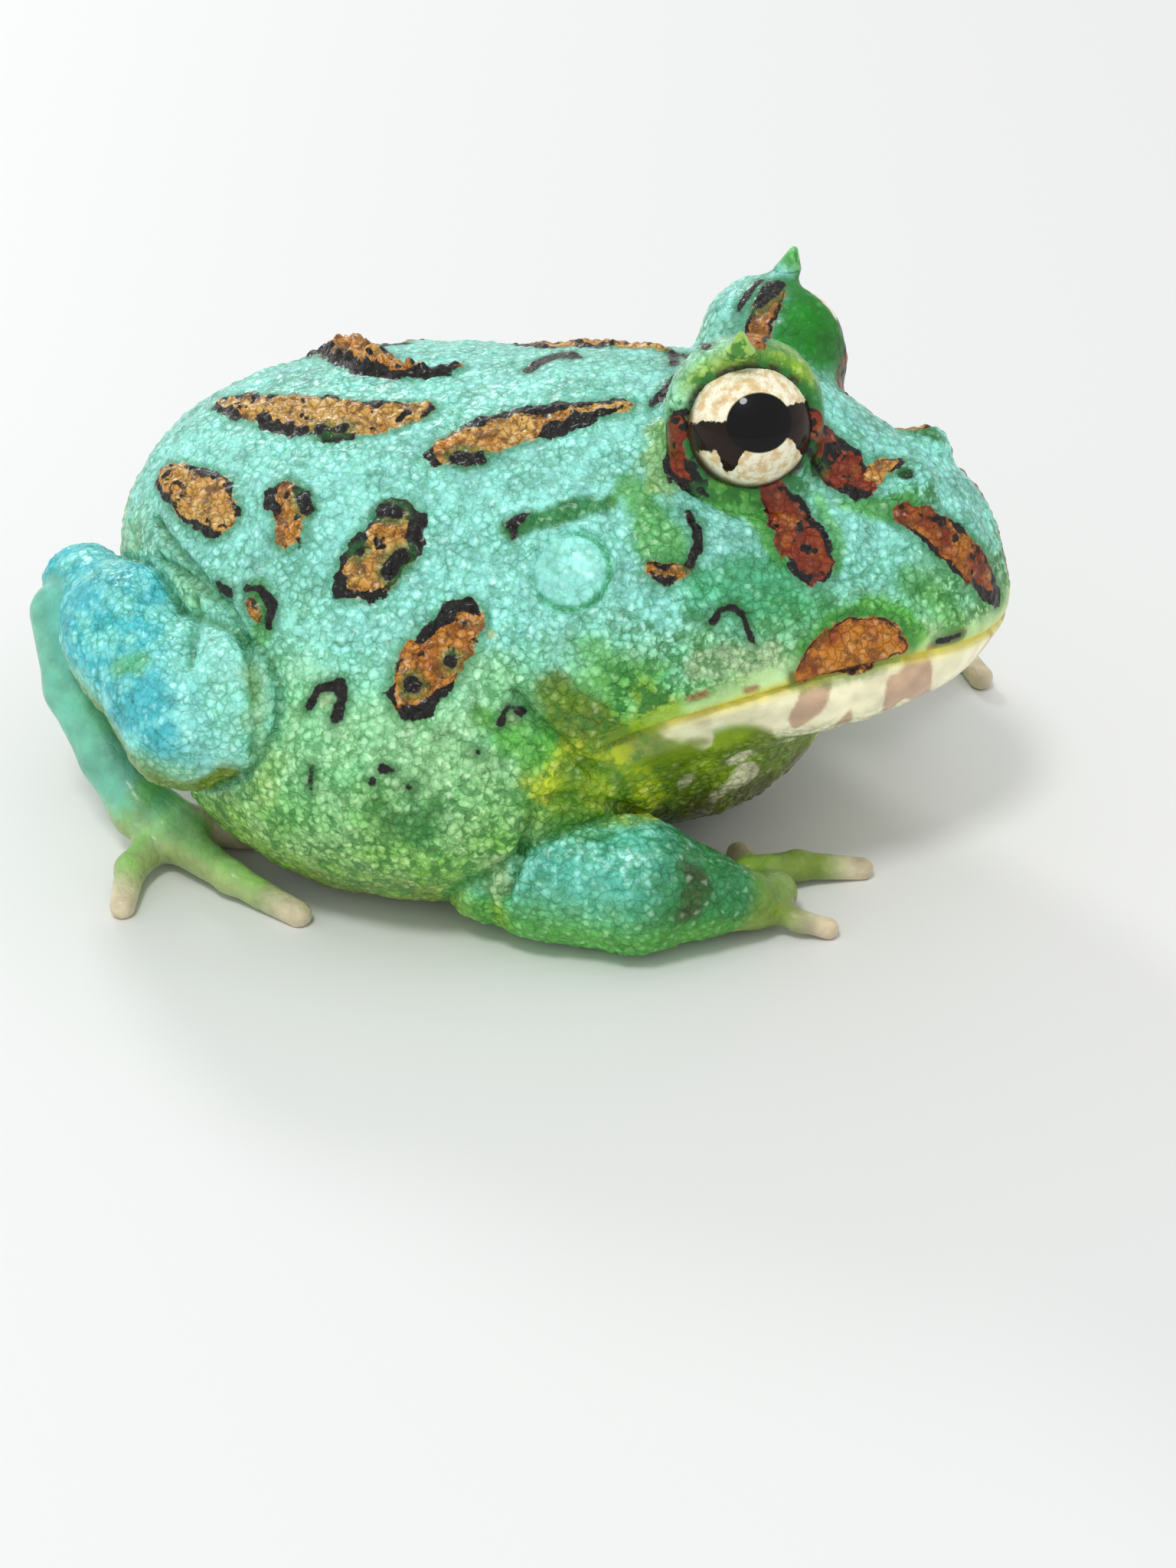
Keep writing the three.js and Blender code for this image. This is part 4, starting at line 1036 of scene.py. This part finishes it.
def skin_material():
    m = Nodes("frog_skin")
    tone_in = m.attribute("tone", "Vector")
    blotch_in, heat_in, rimmed_in, dark_in, mossy_in = [
        m.attribute(name) for name in ("blotch", "warmth", "rimmed", "dark", "mossy")]
    rough = 1 - m.attribute("smooth_skin")
    to_crease = m.voronoi(GRAIN, "DISTANCE_TO_EDGE", bend=GRAIN_BEND)
    from_middle = m.voronoi(GRAIN, bend=GRAIN_BEND)
    chance = m.between(m.voronoi(GRAIN, output="Color", bend=GRAIN_BEND), 0, 1)
    ragged = m.noise(0.9, 3, 0.6)
    broad = m.noise(2.6)
    # pebbles: painted highlights on top, some much paler, and painted shade in the creases between
    crease = m.between(to_crease, 0, 0.26, 1, 0)
    peak = m.between(from_middle, 0.05, 0.48, 1, 0)
    darker = m.mix(1, tone_in, (0.16, 0.42, 0.2), "MULTIPLY")
    painted_highlight = m.mix(0.3, m.mix(1, tone_in, (1.6, 1.35, 1.4), "MULTIPLY"), (0.78, 0.96, 0.78))
    crease_shade_weight = m.math("MAXIMUM", m.between(broad, 0.35, 0.65, 0.05, 0.5), mossy_in * 0.55)
    # painted shade in the creases between pebbles, then painted highlights on their tops
    colour = m.mix(crease * rough * crease_shade_weight, tone_in, darker)
    colour = m.mix(peak * rough * m.between(chance, 0.35, 0.75, 0.1, 0.8), colour, painted_highlight)
    grit = m.between(m.noise(0.42, 3, 0.65), 0.5, 0.68, 0, 0.45)
    colour = m.mix(grit * rough, colour, darker)
    # dark green gathers in the hollows
    hollows = m.between(ragged + crease * 0.05, 0.5, 0.62)
    colour = m.mix(hollows * mossy_in * 0.9, colour, (0.02, 0.2, 0.025))
    # blotches: a thin green halo, a grainy tan to red middle with painted highlights on its pebbles and
    # painted shade in their creases, black islands and a broken black rim
    edge = blotch_in + (ragged - 0.5) * 1.1
    colour = m.mix(m.between(edge, 0.05, 0.8, 1, 0) * 0.6, colour, (0.02, 0.2, 0.03))
    uneven = heat_in + (m.noise(1.5, 3) - 0.5) * 1.1
    warm = m.mix(m.between(uneven, 0, 0.6), TAN, ORANGE)
    warm = m.mix(m.between(uneven, 0.55, 0.95), warm, RED_BROWN)
    # painted highlights on the tops of the pebbles, then painted shade in the creases between them
    warm = m.mix(peak * chance * m.between(uneven, 0.1, 1, 0.9, 0.1), warm, PALE)
    warm = m.mix(m.between(to_crease, 0, 0.12, 0.55, 0), warm, (0.07, 0.02, 0.006))
    stain = m.between(m.noise(0.8, 3, 0.6), 0.48, 0.62) * m.between(heat_in, 0.3, 1.2, 0.75, 0.3)
    warm = m.mix(stain, warm, (0.1, 0.035, 0.008))
    colour = m.mix(m.between(edge, -0.12, 0.02, 1, 0), colour, warm)
    islands = m.between(m.noise(1.1), 0.6, 0.64) * m.between(rimmed_in, 0.1, 0.6)
    colour = m.mix(islands * m.between(edge, -0.2, 0, 1, 0), colour, BLACK)
    rim = abs(edge + 0.2) - m.between(broad, 0.38, 0.62, 0, 0.6) * rimmed_in
    colour = m.mix(m.between(rim, -0.06, 0.06, 1, 0), colour, BLACK)
    # dark lines with a green halo
    dark_edge = dark_in + (ragged - 0.5) * 0.7
    colour = m.mix(m.between(dark_edge, 0.1, 0.7, 0.6, 0), colour, (0.02, 0.16, 0.03))
    colour = m.mix(m.between(dark_edge, -0.02, 0.12, 1, 0), colour, BLACK)
    dome = (1 - (from_middle * 1.2)**2) * (rough * 0.9 + 0.1)
    m.fill(m.shader, {
        "Base Color": colour,
        "Roughness": m.between(m.noise(3), 0.3, 0.7, 0.28, 0.44),
        "Subsurface Weight": 0.12,
        "Subsurface Radius": (1.0, 0.8, 0.5),
        "Subsurface Scale": 0.0006,
        "Specular IOR Level": 0.28,
        "Coat Weight": 0.22,
        "Coat Roughness": 0.15,
        "Normal": m.bump(dome, 0.2, Normal=m.bump(m.noise(0.38, 3, 0.6), 0.07)),
    })
    return m.material


skin_finish = skin_material()
for name, part in skin_parts.items():
    part.data.materials.append(skin_finish)
    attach(part, "root")
    "skin" if name == "skin" else "horn"


# eyes: a ball turned round the line of sight, with the iris drawn from its own coordinates
def eye_object(name, centre, side):
    forward = unit(on_side(side, GAZE))
    level = unit(np.cross((0, 0, 1), forward)) * -side
    upward = np.cross(forward, level)
    upward *= np.sign(upward[2])
    rings, around = 72, 144
    a = np.linspace(0, math.pi, rings + 1)
    b = np.arange(around) * 2 * math.pi / around
    reach = EYE_RADIUS + 0.06 * np.exp(-(a / 0.55)**4)
    local = [[(0, 0, reach[0])]]
    for angle, r in zip(a[1:-1], reach[1:-1]):
        aside = r * math.sin(angle)
        ahead = np.full(around, r * math.cos(angle))
        local.append(np.stack([aside * np.cos(b), aside * np.sin(b), ahead], 1))
    local.append([(0, 0, -reach[-1])])
    local = np.concatenate(local)
    last = 1 + (rings - 2) * around
    faces = []
    for j in range(around):
        k = (j + 1) % around
        faces.append((0, 1 + j, 1 + k))
        faces.append((len(local) - 1, last + k, last + j))
        for top in range(1, last, around):
            low = top + around
            faces.append((top + j, low + j, low + k))
            faces.append((top + j, low + k, top + k))
    faces = np.array(faces)
    place = local @ (level, upward, forward) + centre
    if np.dot(np.cross(level, upward), forward) < 0:
        faces = faces[:, ::-1]
    return mesh_object(name, place, faces, {"iris_place": local})


def eye_material():
    m = Nodes("frog_eye")
    split = m.fill(m.new("SeparateXYZ"), {0: m.attribute("iris_place", "Vector")})
    across, above, forward = [m.output(split, i) for i in range(3)]
    wobble = m.noise(0.7, 3, 0.6) - 0.5
    radius = m.math("SQRT", across * across + above * above)
    gold = m.mix(m.between(m.noise(0.6, 3), 0.35, 0.6), (0.8, 0.59, 0.3), (1.0, 0.96, 0.74))
    veins = m.between(m.voronoi(0.5, "DISTANCE_TO_EDGE"), 0, 0.05, 0.25, 0)
    gold = m.mix(veins, gold, (0.25, 0.12, 0.04))
    # a black band runs level through the pupil, wider towards the corners, and hangs down at one place
    drip = m.between(abs(across + 1.75), 0.1, 0.9, 0.65, 0)
    middle = m.between(across, -0.9, 0.9, -0.62, 0) + m.between(across, 1.6, 3.4, 0, -0.75) - drip
    spread = m.between(across, -0.9, 0.9, 0.8, 0.95) + m.between(across, 1.6, 3.4, 0, 0.75) + drip
    band = abs(above + wobble * 0.9 - middle) - spread
    colour = m.mix(m.between(band, 0, 0.12, 1, 0), gold, (0.012, 0.006, 0.004))
    reddish = m.between(radius + wobble, 1.9, 3.2)
    colour = m.mix(reddish * m.between(band, -0.5, 0, 1, 0) * 0.12, colour, (0.1, 0.02, 0.01))
    # the pupil is a level oval
    oval = m.math("SQRT", (across / 1.95)**2 + (above / 1.76)**2)
    colour = m.mix(m.between(oval, 0.98, 1.04, 1, 0), colour, (0.001, 0.001, 0.001))
    # the iris ends in a dark edge, and the ball's back is as dark
    outside = radius + m.between(forward, 0, 0.5, 2, 0)
    colour = m.mix(m.between(outside, 3.45, 3.85), colour, (0.05, 0.025, 0.012))
    m.fill(m.shader, {
        "Base Color": colour,
        "Roughness": 0.4,
        "Specular IOR Level": 0.05,
        "Coat Weight": 0.4,
        "Coat Roughness": 0.02,
    })
    return m.material


eye_finish = eye_material()
for side_name, (centre, side) in EYES.items():
    eye = eye_object("eyeball_" + side_name, centre, side)
    eye.data.materials.append(eye_finish)
    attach(eye, "root")
    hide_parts("eye_" + side_name)
flesh_nodes = [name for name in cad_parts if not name.startswith(("eye_", "horn_"))]
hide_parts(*flesh_nodes)
for side_name in EYES:
    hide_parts("horn_" + side_name)

# floor, light and camera
scene = bpy.context.scene
LIT_PLACE = Vector((0, 0, 0.015))
bpy.ops.mesh.primitive_plane_add(size=4)
floor = bpy.context.object
floor.name = "floor"
floor_finish = Nodes("pale_floor")
floor_finish.fill(floor_finish.shader, {"Base Color": (0.8, 0.81, 0.805, 1), "Roughness": 0.6})
floor.data.materials.append(floor_finish.material)


def area_light(name, place, size, power):
    data = bpy.data.lights.new(name, "AREA")
    data.shape = "DISK"
    data.size = size
    data.energy = power
    light = bpy.data.objects.new(name, data)
    light.location = place
    light.rotation_euler = (LIT_PLACE - Vector(place)).to_track_quat("-Z", "Y").to_euler()
    scene.collection.objects.link(light)


area_light("overhead", (-0.03, -0.26, 0.54), 0.13, 1.15)
area_light("behind", (-0.32, 0.4, 0.31), 0.12, 0.75)
scene.world = bpy.data.worlds.new("room")
scene.world.use_nodes = True
background = scene.world.node_tree.nodes["Background"]
background.inputs[0].default_value = (1, 1, 1, 1)
background.inputs[1].default_value = 0.73
scene.view_settings.view_transform = "Standard"

camera_data = bpy.data.cameras.new("photo_camera")
camera_data.sensor_fit = "VERTICAL"
camera_data.sensor_height = SENSOR
camera_data.lens = LENS
camera_data.clip_start = 0.01
camera = bpy.data.objects.new("photo_camera", camera_data)
camera.location = (eye_point + offset) * MM
camera.rotation_euler = Vector(back_axis).to_track_quat("Z", "Y").to_euler()
scene.collection.objects.link(camera)
scene.camera = camera

bpy.context.view_layer.update()
